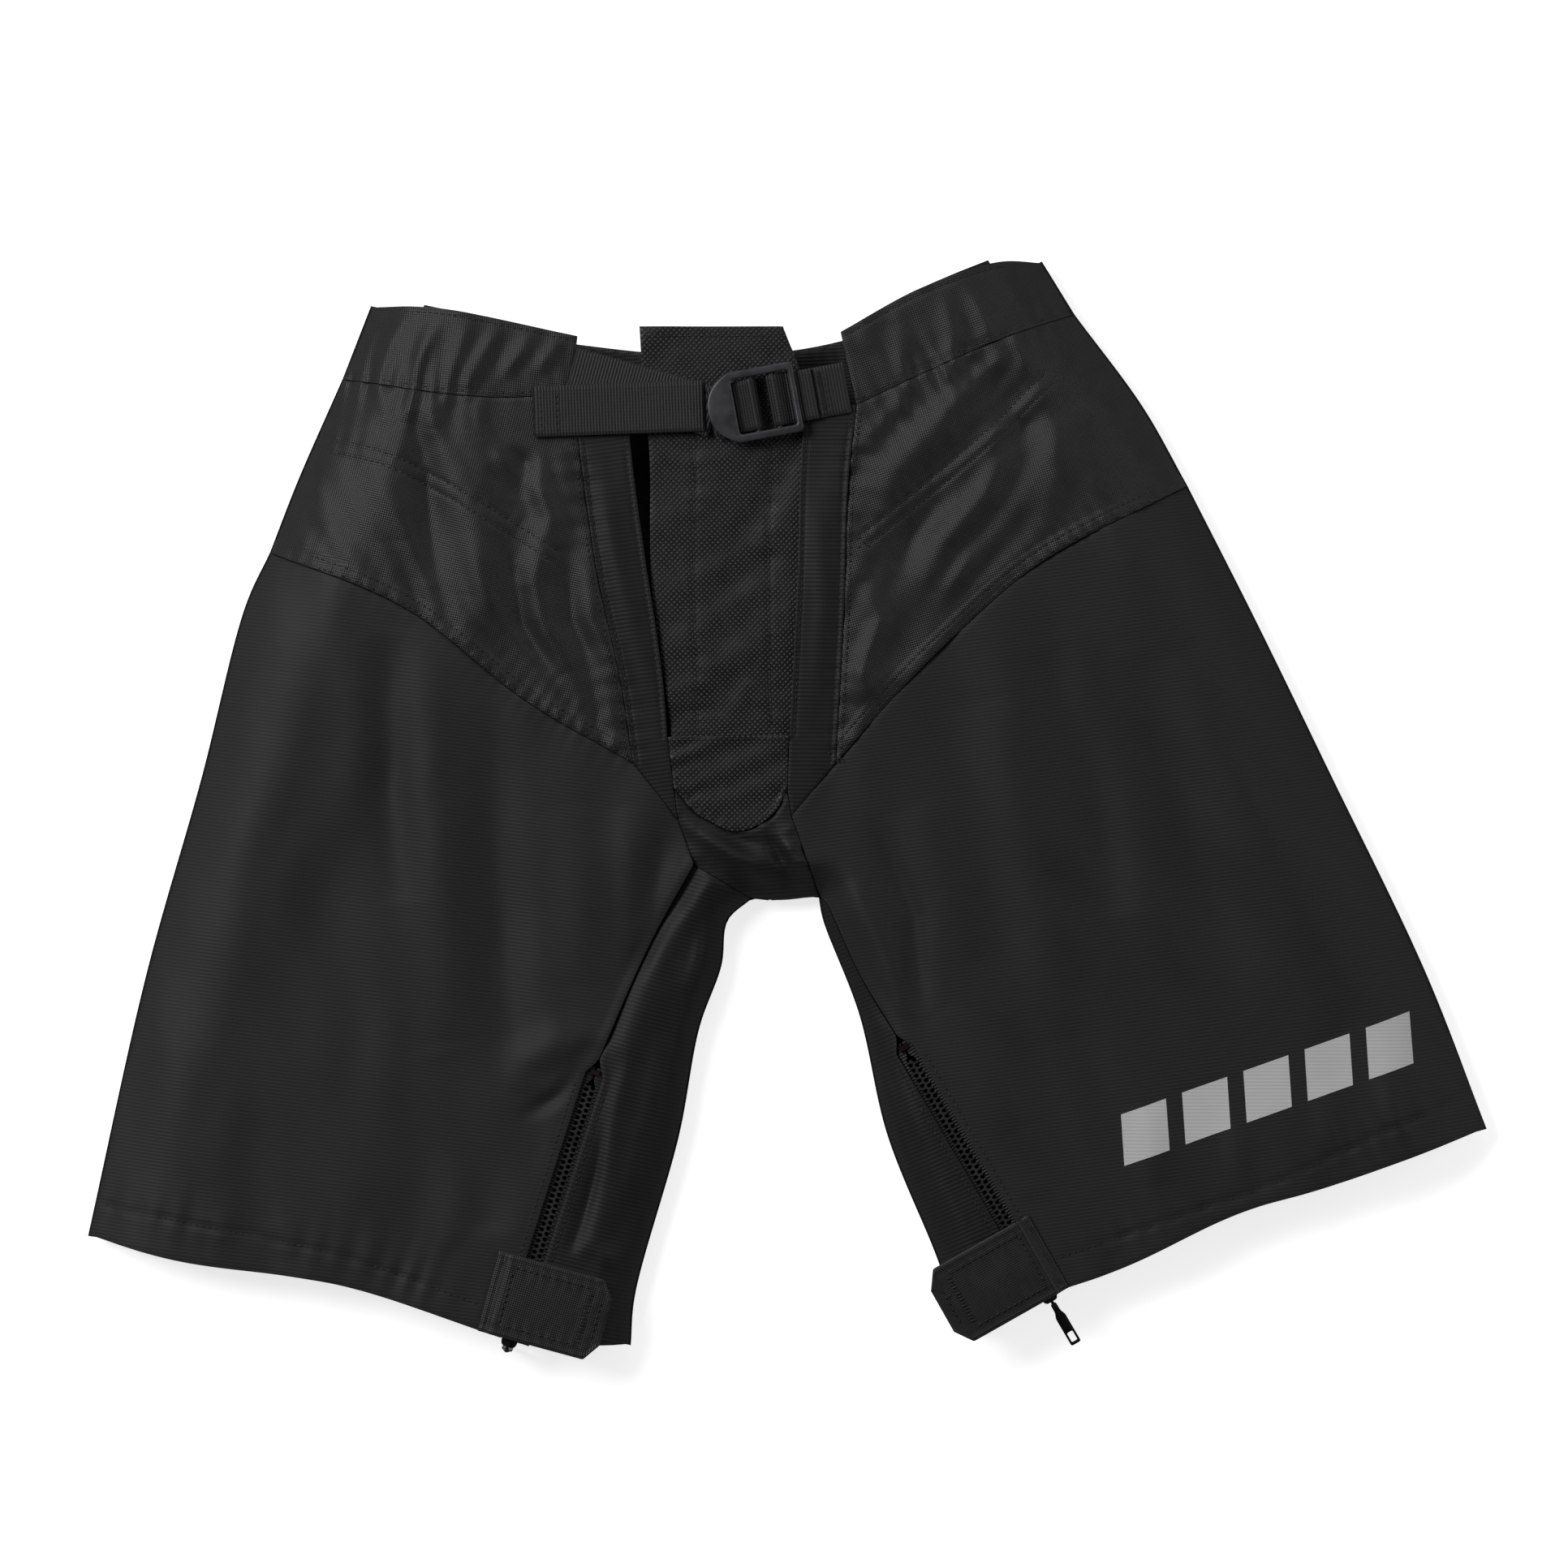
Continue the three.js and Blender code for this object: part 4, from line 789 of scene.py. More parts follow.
# %% Surfaces of the front, each with its own welts, grooves and gathers
surfaces = {}
for side, way in left_of_line.items():
    edge, band, outer, inner = yoke_seam[side], band_seam[side], fly_outer[side], fly_inner[side]
    surfaces["front_yoke_" + side] = front_surface(
        welt(edge, 6.6, 0.9), groove(beside(edge, YOKE_ROW_FAR), 0.5), gather(edge, 7.5, 0.5, 8),
        gather(band, 9, 1.4, 9), gather(outer, 11, 0.5, 10), groove(slant[side], 0.45),
        groove(
            beside(slant[side], SLANT_ROW), 0.45,
        ), gather(slant[side], 8, 0.35, 6), creases=yoke_creases[side],
    )
    surfaces["front_leg_" + side] = front_surface(
        gather(edge, 7.5, 0.3, 6), groove(hem_line[side], 0.8), gather(hem_line[side], 13, 0.8, 8),
        welt(zip_leg[side], 2.0, 0.5), groove(beside(zip_leg[side], ZIP_ROW * way), 0.4),
        welt(thigh_seam[side], 2.5, 0.7), creases=leg_creases[side],
    )
    surfaces["inner_thigh_" + side] = front_surface(
        welt(zip_thigh[side], 2.0, 0.5), groove(beside(zip_thigh[side], -ZIP_ROW * way), 0.4),
        groove(thigh_seam[side], 1.8, 4), creases=thigh_creases[side],
    )
    surfaces["fly_strip_" + side] = front_surface(
        welt(outer, 1.2, 0.6), welt(inner, 1.2, 0.5), groove(beside(outer, -STRIP_ROW * way), 0.5),
        groove(beside(inner, STRIP_ROW * way), 0.4), gather(outer, 10, 0.35, 6),
    )
    surfaces["front_waistband_" + side] = front_surface(
        gather(band, 9, band_pucker[side], 10), groove(beside(band, BAND_ROW), 0.5),
        groove(beside(waist_edge[side], WAIST_ROW), 0.45), gather(waist_edge[side], 15, 0.3, 5),
    )
surfaces["tongue_pocket"] = front_surface(
    welt(pocket_head, 1.8, 0.6), welt(pocket_seam, 1.6, 0.7), groove(beside(pocket_seam, 2.8), 0.4),
    gather(pocket_seam, 6, 0.4, 6), creases=(0.7, 17, 0.7),
)
surfaces["crotch_gusset"] = front_surface(
    welt(pocket_seam, 1.0, -0.5), gather(gusset_side_l, 9, 0.7, 9), groove(gusset_side_r, 1.2, 3),
    creases=(-0.5, 20, 0.9),
)
TONGUE_DEPTH = CLOTH + AIR + 0.6
surfaces["fly_tongue"] = front_surface(
    groove(tongue_line_r, 0.5), groove(tongue_line_l, 0.5), gather(tongue_line_r, 9, 0.35, 7),
    gather(tongue_line_l, 9, 0.35, 7), depth=TONGUE_DEPTH, creases=(0.6, 38, 0.8),
)
hidden_front = front_surface(depth=CLOTH + 1.6)
hem_leg_r = seam(hem_side_r, (-300, -225), (-220, -237), zip_leg_r[0])
hem_leg_l = seam(zip_leg_l[0], (164, -229), (224, -201), (268, -188), hem_side_l)
print(len(surfaces), "front surfaces")


# %% Legs and inner thighs
def cut_panels(*rows):
    """A row is a node, its four edges, its finish, grain in degrees, cell size, and what it lies on."""
    for node, edges, finish, grain, spacing, under in rows:
        cloth_panel(node, edges, surfaces[node], finish, grain, spacing, lies_on=under)


beside_leg_r = chain(zip_leg_r, thigh_seam_r, gusset_side_r)
beside_leg_l = chain(zip_leg_l, thigh_seam_l, seam(thigh_head_l, crotch_l), gusset_side_l)
leg_head_r, leg_head_l = chain(yoke_seam_r, fly_foot_seam_r), chain(fly_foot_seam_l, yoke_seam_l)
beside_thigh_r, beside_thigh_l = chain(zip_thigh_r, thigh_seam_r), chain(zip_thigh_l, thigh_seam_l)
thigh_hem_r, thigh_hem_l = seam(zip_thigh_r[0], hem_inner_r), seam(hem_inner_l, zip_thigh_l[0])
thigh_top_l = seam(crotch_l, thigh_head_l)
cut_panels(
    ("front_leg_right", (hem_leg_r, leg_head_r, side_leg_r, beside_leg_r), twill, -7, 2.2, "back_leg_right"),
    ("front_leg_left", (hem_leg_l, leg_head_l, beside_leg_l, side_leg_l), twill, 8, 2.2, "back_leg_left"),
    (
        "inner_thigh_right", (thigh_hem_r, thigh_top_r, beside_thigh_r, inner_r), knit, -14, 1.6,
        "back_leg_right",
    ),
    ("inner_thigh_left", (thigh_hem_l, thigh_top_l, inner_l, beside_thigh_l), knit, 24, 1.6, "back_leg_left"),
)

# %% Yokes, fly strips, pocket, gusset and tongue
strip_inside_r = chain(gusset_tip_r, pocket_side_r, fly_inner_r)
strip_inside_l = chain(gusset_tip_l, pocket_side_l, fly_inner_l)
gusset_edge_r = chain(thigh_top_r[::-1], gusset_side_r, gusset_tip_r)
gusset_edge_l = chain(gusset_side_l, gusset_tip_l)
tongue_foot, tongue_head = seam((-57, 30), (4, 31)), seam((-73, 236), (-2, 236))
tongue_edge_r = seam((-57, 30), (-60, 57), (-67, 110), (-68, 173), (-71, 205), (-73, 236))
tongue_edge_l = seam((4, 31), (12, 80), (13, 150), (9, 205), (-2, 236))
cut_panels(
    (
        "front_yoke_right", (yoke_seam_r, band_seam_r, side_yoke_r, fly_outer_r), oxford, -14, 1.6,
        "seat_right",
    ),
    ("front_yoke_left", (yoke_seam_l, band_seam_l, fly_outer_l, side_yoke_l), oxford, 16, 1.6, "seat_left"),
    (
        "fly_strip_right", (fly_foot_seam_r, strip_head_r, fly_outer_r, strip_inside_r), knit, 8, 1.3,
        "fly_tongue",
    ),
    (
        "fly_strip_left", (fly_foot_seam_l, strip_head_l, strip_inside_l, fly_outer_l), knit, 0, 1.3,
        "fly_tongue",
    ),
    (
        "tongue_pocket", (pocket_seam, pocket_head, pocket_side_r, pocket_side_l), mesh_knit, 0, 1.3,
        "seat_left",
    ),
    ("crotch_gusset", (crotch, pocket_seam, gusset_edge_r, gusset_edge_l), knit, 4, 1.3, "back_leg_right"),
    ("fly_tongue", (tongue_foot, tongue_head, tongue_edge_r, tongue_edge_l), mesh_knit, 3, 1.5, "seat_left"),
)

# %% Front waistband with its facings, and the tapes under the slanting stitches
INSET = 27
INSIDE_CELL, INSIDE_THICKNESS = 3, 0.8
low_r, high_r = np.array(band_side_r) + (INSET, 0), np.array(waist_side_r) + (INSET, 0)
low_l, high_l = np.array(band_side_l) - (INSET, 0), np.array(waist_side_l) - (INSET, 0)
cut_panels(
    (
        "front_waistband_right", (band_seam_r, waist_edge_r, side_band_r, band_end_r), oxford, -6, 1.4,
        "back_waistband_outer",
    ),
    (
        "front_waistband_left", (band_seam_l, waist_edge_l, band_end_l, side_band_l), oxford, 18, 1.4,
        "back_waistband_outer",
    ),
)
facing_low_r, facing_high_r = seam(
    low_r, (-164, 202), (-128, 201), (-106, 205),
), seam(high_r, (-140, 238), (-103, 231))
facing_low_l, facing_high_l = seam(
    (34, 197), (72, 215), (104, 229), low_l,
), seam((26, 233), (64, 254), high_l)
inside = [
    ("waistband_facing_right", (facing_low_r, facing_high_r, seam(low_r, high_r), band_end_r), 0),
    ("waistband_facing_left", (facing_low_l, facing_high_l, band_end_l, seam(low_l, high_l)), 15),
]
TAPE_HALF = 6
tape_middle = pair([(-202, 174), (-182, 168), (-158, 151), (-112, 124)], [(36, 132), (88, 172), (118, 199)])
for side, points in tape_middle.items():
    under, over = (seam(*[(x, y + half) for x, y in points]) for half in (-TAPE_HALF, TAPE_HALF))
    inside.append(
        ("yoke_tape_" + side, (under, over, seam(under[0], over[0]), seam(under[-1], over[-1])), -20)
    )
for node, edges, grain in inside:
    cloth_panel(node, edges, hidden_front, elastic, grain, INSIDE_CELL, INSIDE_THICKNESS)

# %% [markdown]
# ## Back panels
# The back rests on the table, so it is nearly flat, with a few low folds that lift off the surface.

# %% Back legs, seat and waistband
back_folds = [
    ([(-250, 60), (-230, -60), (-220, -180)], 18, 2.0), ([(-150, 40), (-140, -80), (-130, -200)], 16, 1.6),
    ([(220, 60), (240, -40), (260, -140)], 18, 2.0), ([(100, 40), (140, -60), (170, -160)], 14, 1.5),
    ([(-180, 180), (-170, 120)], 8, 1.5), ([(-100, 185), (-95, 110)], 7, 1.4),
    ([(40, 185), (50, 110)], 7, 1.4), ([(110, 210), (120, 150)], 8, 1.5),
]
seat_seam_r, seat_seam_l = seam(
    yoke_side_r, (-150, 72), seat_middle,
), seam(seat_middle, (70, 80), yoke_side_l)
centre_leg = seam(seat_crotch, (-16, -10), seat_middle)
centre_seat = seam(seat_middle, (-32, 110), back_waist_middle)
band_back_r, band_back_l = seam(
    band_side_r, (-110, 196), back_waist_middle,
), seam(back_waist_middle, (46, 199), band_side_l)
back_edge = seam(waist_side_r, (-100, 228), (-30, 223), (30, 231), waist_side_l)
surfaces["back_leg_right"] = back_surface(gather(seat_seam_r, 8, 0.3, 6))
surfaces["back_leg_left"] = back_surface(gather(seat_seam_l, 8, 0.3, 6))
surfaces["seat_right"] = back_surface(gather(band_back_r, 9, 0.6, 10))
surfaces["seat_left"] = back_surface(gather(band_back_l, 9, 0.6, 10))
surfaces["back_waistband_outer"] = back_surface(gather(back_edge, 7, 0.4, 12))
hem_back_r = seam(hem_side_r, (-300, -222), (-220, -235), (-145, -256), hem_inner_r)
hem_back_l = seam(hem_inner_l, (140, -236), (224, -200), (268, -186), hem_side_l)
edge_back_r = chain(inner_r, seam(crotch_r, seat_crotch), centre_leg)
edge_back_l = chain(inner_l, seam(crotch_l, seat_crotch), centre_leg)
band_back = chain(band_back_r, band_back_l)
cut_panels(
    ("back_leg_right", (hem_back_r, seat_seam_r, side_leg_r, edge_back_r), twill, -7, 3.6, "table"),
    ("back_leg_left", (hem_back_l, seat_seam_l, edge_back_l, side_leg_l), twill, 8, 3.6, "table"),
    ("seat_right", (seat_seam_r, band_back_r, side_yoke_r, centre_seat), oxford, -10, 3, "table"),
    ("seat_left", (seat_seam_l, band_back_l, centre_seat, side_yoke_l), oxford, 12, 3, "table"),
    ("back_waistband_outer", (band_back, back_edge, side_band_r, side_band_l), oxford, 4, 2.4, "table"),
)
low_line = seam(low_r, (-110, 198), (-34, 192), (46, 201), low_l)
high_line = seam(high_r, (-100, 227), (-30, 222), (30, 230), high_l)
inner_edges = (low_line, high_line, seam(low_r, high_r), seam(low_l, high_l))
gathered = gather(seam(low_r, (-34, 207), low_l), 6, 0.5, 30)
for node, height in (("waist_elastic", CLOTH + 1.0), ("back_waistband_inner", CLOTH + 2.7)):
    surface = back_surface(gathered, height=height)
    cloth_panel(node, inner_edges, surface, elastic, 3, 1.8, 0.9, lies_on="back_waistband_outer")

# %% [markdown]
# ## Hem zips
# Each zip is a moulded chain: fat plastic teeth with rounded heads on two woven tapes. The teeth are
# small, but the gaps between their heads are what makes a zip look like a zip, so each is modelled.


# %% Put local points where the zip, tab or belt lies
def placed(points, foot, turn):
    points = np.asarray(points, float)
    c, s = math.cos(turn), math.sin(turn)
    x, y = points[..., 0], points[..., 1]
    return np.stack(
        [foot[0] + SHIFT[0] + c * x - s * y, foot[1] + SHIFT[1] + s * x + c * y, points[..., 2]], -1,
    )


TAPE_DEPTH, TOOTH_RISE = 0.6, 0.45
CHAIN_HEIGHT = LEG_LOFT - CLOTH - TAPE_DEPTH - TOOTH_RISE
TOOTH_PITCH, STOP_LENGTH, TAPE_GAP, TAPE_EDGE = 2.9, 9, 2.2, 10.1
zips = {"right": (zip_hem_r, zip_head_r, 1), "left": (zip_hem_l, zip_head_l, -1)}
zip_turn = {side: math.atan2(head[1] - hem[1], head[0] - hem[0]) for side, (hem, head, _) in zips.items()}

# %% Tapes and teeth
tooth_outline = np.array([
    (-0.5, -2.9), (0.5, -2.9), (0.55, -1.1), (1.0, -0.55), (0.95, 0.1),
    (0.5, 0.45), (-0.5, 0.45), (-0.95, 0.1), (-1.0, -0.55), (-0.55, -1.1),
])
tooth_levels = [(-1.2, 0.72), (-0.85, 1.0), (0.85, 1.0), (1.2, 0.72)]
for side, (hem, head, outer) in zips.items():
    turn = zip_turn[side]
    length = math.dist(hem, head)
    for which, way in (("outer", outer), ("inner", -outer)):
        zip_edge = [(0, TAPE_GAP), (length - STOP_LENGTH, TAPE_GAP), (length - 7.5, 0.3), (length, 0.3)]
        sides = [zip_edge, [(0, TAPE_EDGE), (length, TAPE_EDGE)]][::way]
        edge = [
            placed(
                [(x, y * way, 0) for x, y in side_points], hem, turn
            )[:, :2] - SHIFT for side_points in sides
        ]
        tape_edges = (
            evenly(edge[0], 60), evenly(edge[1], 60), seam(edge[0][0], edge[1][0]),
            seam(edge[0][-1], edge[1][-1]),
        )
        cloth_panel(
            f"zip_tape_{which}_{side}", tape_edges, front_surface(depth=CLOTH + TAPE_DEPTH), webbing,
            math.degrees(turn), 2.0, 0.8, lies_on="front_leg_" + side,
        )
        points, faces = [], []
        for k in range(1, int((length - STOP_LENGTH) / TOOTH_PITCH) + 1):
            start = len(points)
            middle = 0.6 + TOOTH_PITCH * (k if way > 0 else k - 0.5)
            for z, grow in tooth_levels:
                for x, y in tooth_outline:
                    points.append((middle + x * grow, (y if y < -2 else y * grow) * -way, CHAIN_HEIGHT + z))
            n = len(tooth_outline)
            for a in range(3):
                for b in range(n):
                    c = (b + 1) % n
                    quad = [
                        start + a * n + b, start + a * n + c, start + (a + 1) * n + c,
                        start + (a + 1) * n + b,
                    ]
                    faces.append(quad if way < 0 else quad[::-1])
            for a, flip in ((0, True), (3, False)):
                cap = [start + a * n + b for b in range(n)]
                faces.append(cap[::-1] if flip == (way < 0) else cap)
        build(
            f"zip_row_{which}_{side}", placed(points, hem, turn), faces, acetal,
            nodes=[f"zip_teeth_{which}_{side}"], angle=35,
        )
    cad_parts["zip_stop_" + side].material_slots[0].material = stop_metal
    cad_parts["zip_slider_" + side].material_slots[0].material = lacquered_zinc
print("teeth pitch", TOOTH_PITCH, "mm, chain at", round(CHAIN_HEIGHT, 2), "mm")


# %% [markdown]
# The pull is a small stamped plate with a window. A filled curve with a bevel gives it soft edges.


# %% A flat plate with holes and rounded edges, from outlines in millimetres
def plate(outlines, thickness, round_edge):
    curve = bpy.data.curves.new("plate", "CURVE")
    curve.dimensions = "2D"
    curve.fill_mode = "BOTH"
    curve.extrude = thickness / 2 - round_edge
    curve.bevel_depth = round_edge
    curve.bevel_resolution = 3
    curve.offset = -round_edge
    for outline in outlines:
        spline = curve.splines.new("POLY")
        spline.points.add(len(outline) - 1)
        spline.points.foreach_set(
            "co", np.column_stack([outline, np.zeros(len(outline)), np.ones(len(outline))]).ravel(),
        )
        spline.use_cyclic_u = True
    held = bpy.data.objects.new("plate", curve)
    bpy.context.scene.collection.objects.link(held)
    mesh = bpy.data.meshes.new_from_object(held.evaluated_get(bpy.context.evaluated_depsgraph_get()))
    points = np.array([v.co for v in mesh.vertices])
    _, first, same = np.unique(np.round(points, 4), axis=0, return_index=True, return_inverse=True)
    same = same.ravel()
    faces = [list(dict.fromkeys(int(same[k]) for k in p.vertices)) for p in mesh.polygons]
    bpy.data.objects.remove(held)
    return points[first], [face for face in faces if len(face) > 2]


def rounded_corners(points, radius, steps=5):
    out = []
    for k, p in enumerate(points):
        p, before, after = (np.array(q, float) for q in (p, points[k - 1], points[(k + 1) % len(points)]))
        a, b = before - p, after - p
        r = min(radius, np.linalg.norm(a) / 2.05, np.linalg.norm(b) / 2.05)
        start, end = p + a / np.linalg.norm(a) * r, p + b / np.linalg.norm(b) * r
        for t in np.linspace(0, 1, steps):
            out.append((1 - t) ** 2 * start + 2 * t * (1 - t) * p + t * t * end)
    return np.array(out)


# %% Pulls, the right one hanging and the left one lying outwards
SLIDER_TOP = CHAIN_HEIGHT + 1.3 + AIR + 1.1
PULL_AXIS = (-4.7, SLIDER_TOP + 0.9)
neck_and_blade = [
    (0.9, -1.5), (0.9, 1.5), (-4.0, 1.6), (-6.5, 2.7), (-22, 2.7), (-22, -2.7), (-6.5, -2.7), (-4.0, -1.6),
]
pull_window = rounded_corners([(-20.4, -1.5), (-20.4, 1.5), (-15.4, 1.5), (-15.4, -1.5)], 0.6)
pull_points, pull_faces = plate([rounded_corners(neck_and_blade, 1.0), pull_window], 1.2, 0.3)
for side, rest in (("right", -math.pi / 2), ("left", 0.0)):
    x, y, z = pull_points.T
    c, s = math.cos(rest), math.sin(rest)
    local = np.column_stack([PULL_AXIS[0] + c * x + s * z, y, PULL_AXIS[1] - s * x + c * z])
    build(
        "pull_" + side, placed(local, zips[side][0], zip_turn[side]), pull_faces, lacquered_zinc,
        body="zip_pull_" + side, nodes=["zip_pull_" + side], angle=40,
    )

# %% [markdown]
# ## Straps and tabs
# Webbing is stiff and keeps its width, so it is swept along its own middle line and not cut from a
# pattern. The same sweep makes the hem tabs, whose free ends have cut corners.


# %% Sweep a flat band along a path of (along, height) points
def strap(name, path, half, thickness, foot, turn, finish, body, nodes, spacing=1.3, relief=None):
    length = float(np.hypot(*np.diff(np.array(path, float), axis=0).T).sum())
    columns = max(6, int(length / spacing))
    wide = half if callable(half) else (lambda u: half + 0 * u)
    line = evenly(path, columns)
    way = np.gradient(line, axis=0)
    way /= np.linalg.norm(way, axis=1, keepdims=True)
    rows = max(6, int(2 * float(np.max(wide(line[:, 0]))) / spacing))
    across = np.linspace(-1, 1, rows + 1)[:, None]
    u, z = line[:, 0][None] + 0 * across, line[:, 1][None] + 0 * across
    v = across * wide(line[:, 0])[None]
    out = np.stack([-way[:, 1][None] + 0 * u, way[:, 0][None] + 0 * u])
    bulge = relief(u, v) if relief else 0 * u
    rim = np.zeros(u.shape, bool)
    rim[[0, -1], :] = rim[:, [0, -1]] = True
    sides = []
    for way_out in (0.5, -0.5):
        lift = thickness * way_out * np.where(rim, 0.45, 1.0) + bulge
        sides.append(np.stack([u + out[0] * lift, v, z + out[1] * lift], -1).reshape(-1, 3))
    walked = np.linspace(0, length, columns + 1)[None] + 0 * across
    weave = np.stack([walked, v, 0 * v], -1).reshape(-1, 3)
    points = placed(np.vstack(sides), foot, turn)
    return build(
        name, points, sheet_faces(columns, rows), finish, np.vstack([weave, weave]), body=body, nodes=nodes,
    )


# %% Hem tabs with their hook and loop patches
TAB_LENGTH, TAB_HALF, TAB_CORNER, TAB_ROW = 60, 20.5, 9, 14.5
TAB_THICKNESS, LOOP_HALF, LOOP_THICKNESS, HOOK_HALF, HOOK_THICKNESS = 1.5, 13.5, 0.9, 12.5, 0.4
TAB_BASE = LEG_LOFT + AIR
TAB_UNDER = PULL_AXIS[1] + 1.0 + AIR
low_level, high_level = TAB_BASE + TAB_THICKNESS / 2, TAB_UNDER + TAB_THICKNESS / 2
tab_path = [(0, low_level), (4, low_level), (6.4, high_level), (TAB_LENGTH, high_level)]
tabs = {
    "right": ((-147.2, -239), math.radians(-15.2), 25, 20),
    "left": ((128.6, -219.6), math.radians(209.5), 18, 15),
}


def tab_half(u):
    return TAB_HALF - TAB_CORNER * np.clip((u - TAB_LENGTH + 0.7 * TAB_CORNER) / (0.7 * TAB_CORNER), 0, 1)


def tab_relief(u, v):
    to_row = np.minimum(np.abs(np.abs(v) - TAB_ROW), np.abs(u - 50))
    puckers = 0.16 * (1 + np.sin(u * 1.1 + np.sin(v * 0.4))) * np.exp(-to_row / 3)
    edge = 0.3 * np.exp(-(((np.abs(v) - tab_half(u) + 1.2) / 1.1) ** 2))
    return puckers + edge + 0.5 * np.sin(
        np.pi * np.clip(u / 60, 0, 1)
    ) * (0.5 + 0.5 * np.sin(v / 7 + 1)) * (u > 6)


for side, (foot, turn, start, length) in tabs.items():
    tab_body, leg = "hem_tab_" + side, "front_leg_" + side
    on_tab = (foot, turn, oxford, tab_body, [tab_body])
    tab = strap("tab_" + side, tab_path, tab_half, TAB_THICKNESS, *on_tab, 1.0, tab_relief)
    level = TAB_BASE + LOOP_THICKNESS / 2
    line = [(start, level), (start + length, level)]
    on_leg = (foot, turn, hook_tape, "shell", ["loop_patch_" + side])
    loop = strap("loop_" + side, line, LOOP_HALF, LOOP_THICKNESS, *on_leg)
    level = TAB_UNDER - AIR - HOOK_THICKNESS / 2
    line = [(start + 1, level), (start + length - 1, level)]
    under_tab = (foot, turn, hook_tape, tab_body, ["hook_patch_" + side])
    hook = strap("hook_" + side, line, HOOK_HALF, HOOK_THICKNESS, *under_tab)
print("tab underside at", round(TAB_UNDER, 2), "mm")

# %% Belt webbing: load strap, loose tail with a folded end, and the two loops in the buckle
BELT_LEVEL, WEB, WEB_HALF, BAR = HIP_LOFT + AIR, 1.4, 12.5, 1.3
BAR_HEIGHT = BELT_LEVEL + WEB + AIR + BAR
TAIL_LEVEL = BELT_LEVEL + WEB + AIR
BUCKLE_LEVEL = TAIL_LEVEL + WEB + AIR
buckle_foot, buckle_turn = (-16.8, 197), math.radians(10.5)
LIP_END, ADJUST_BAR, ANCHOR_BAR = -22.5, 0.3, 11.0


def on_belt(u):
    return np.array(buckle_foot) + u * np.array([math.cos(buckle_turn), math.sin(buckle_turn)])


def straight_strap(name, start, end, path_of, body, nodes, relief=None):
    way = np.array(end, float) - np.array(start, float)
    return strap(
        name, path_of(float(np.hypot(*way))), WEB_HALF, WEB, start, math.atan2(way[1], way[0]), webbing, body,
        nodes, 1.1, relief,
    )


straight_strap(
    "strap_load", (-106.5, 213.1), on_belt(LIP_END + 3.2),
    lambda n: [(0, BELT_LEVEL + WEB / 2), (n, BELT_LEVEL + WEB / 2)], "shell", ["belt_strap"],
)
tail_start, tail_end = (-125, 193.5), on_belt(LIP_END - 2) + (0, 4)
mid = TAIL_LEVEL + WEB / 2
folded_end = [
    (15, mid - 1.35), (1.4, mid - 1.35), (0.7, mid - 1.1), (0.5, mid - 0.68), (0.7, mid - 0.25), (1.4, mid),
]
straight_strap(
    "strap_tail", tail_start, tail_end, lambda n: folded_end + [(n, mid)], "belt_tail", ["belt_tail"],
    lambda u, v: 0.25 * np.sin(u / 9) ** 2 * (u > 18),
)
for name, node, bar, way, low_end, high_end, fixed, turned in (
    ("strap_adjust_loop", "belt_strap_loop", ADJUST_BAR, 1, LIP_END + 8.8, LIP_END + 1, -21.0, -7.0),
    ("strap_anchor_loop", "belt_anchor_loop", ANCHOR_BAR, -1, 47, 31, 31.0, 14.0),
):
    radius = BAR + AIR + WEB / 2
    angles = np.radians(np.arange(-90, 91, 15))
    arc = [(bar + way * radius * math.cos(a), BAR_HEIGHT + radius * math.sin(a)) for a in angles]
    path = [
        (low_end, BELT_LEVEL + WEB / 2), *arc, (bar - way * 1.5, BAR_HEIGHT + radius), (bar - way * 6.5, mid),
        (high_end, mid),
    ]
    loop = strap(name, path, WEB_HALF, WEB, buckle_foot, buckle_turn, webbing, None, [node], 1.1)
    ends = [tuple((on_belt(u) + SHIFT) / 1000) + (BUCKLE_LEVEL / 1000,) for u in (fixed, turned)]
    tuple(ends[0])
    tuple(ends[1])
    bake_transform(loop)

# %% [markdown]
# ## Buckle
# A ladder-lock is one moulding: a frame, a lip to lift it by, and two bars that the webbing wraps.


# %% Rounded frame, side flanges and bars, joined into one piece
def bezier(a, b, c, d, steps=14):
    t = np.linspace(0, 1, steps)[:, None]
    a, b, c, d = (np.array(p, float) for p in (a, b, c, d))
    return (1 - t) ** 3 * a + 3 * t * (1 - t) ** 2 * b + 3 * t * t * (1 - t) * c + t**3 * d


def rod(u, z, radius, half, sides=20):
    angle = np.linspace(0, 2 * np.pi, sides, endpoint=False)
    ring = [
        np.column_stack(
            [u + radius * np.cos(angle), 0 * angle + v, z + radius * np.sin(angle)]
        ) for v in (-half, half)
    ]
    faces = [[k, sides + k, sides + (k + 1) % sides, (k + 1) % sides] for k in range(sides)]
    faces += [list(range(sides)), list(range(2 * sides - 1, sides - 1, -1))]
    return np.vstack(ring), faces


def lifted(made, z):
    return made[0] + (0, 0, z), made[1]


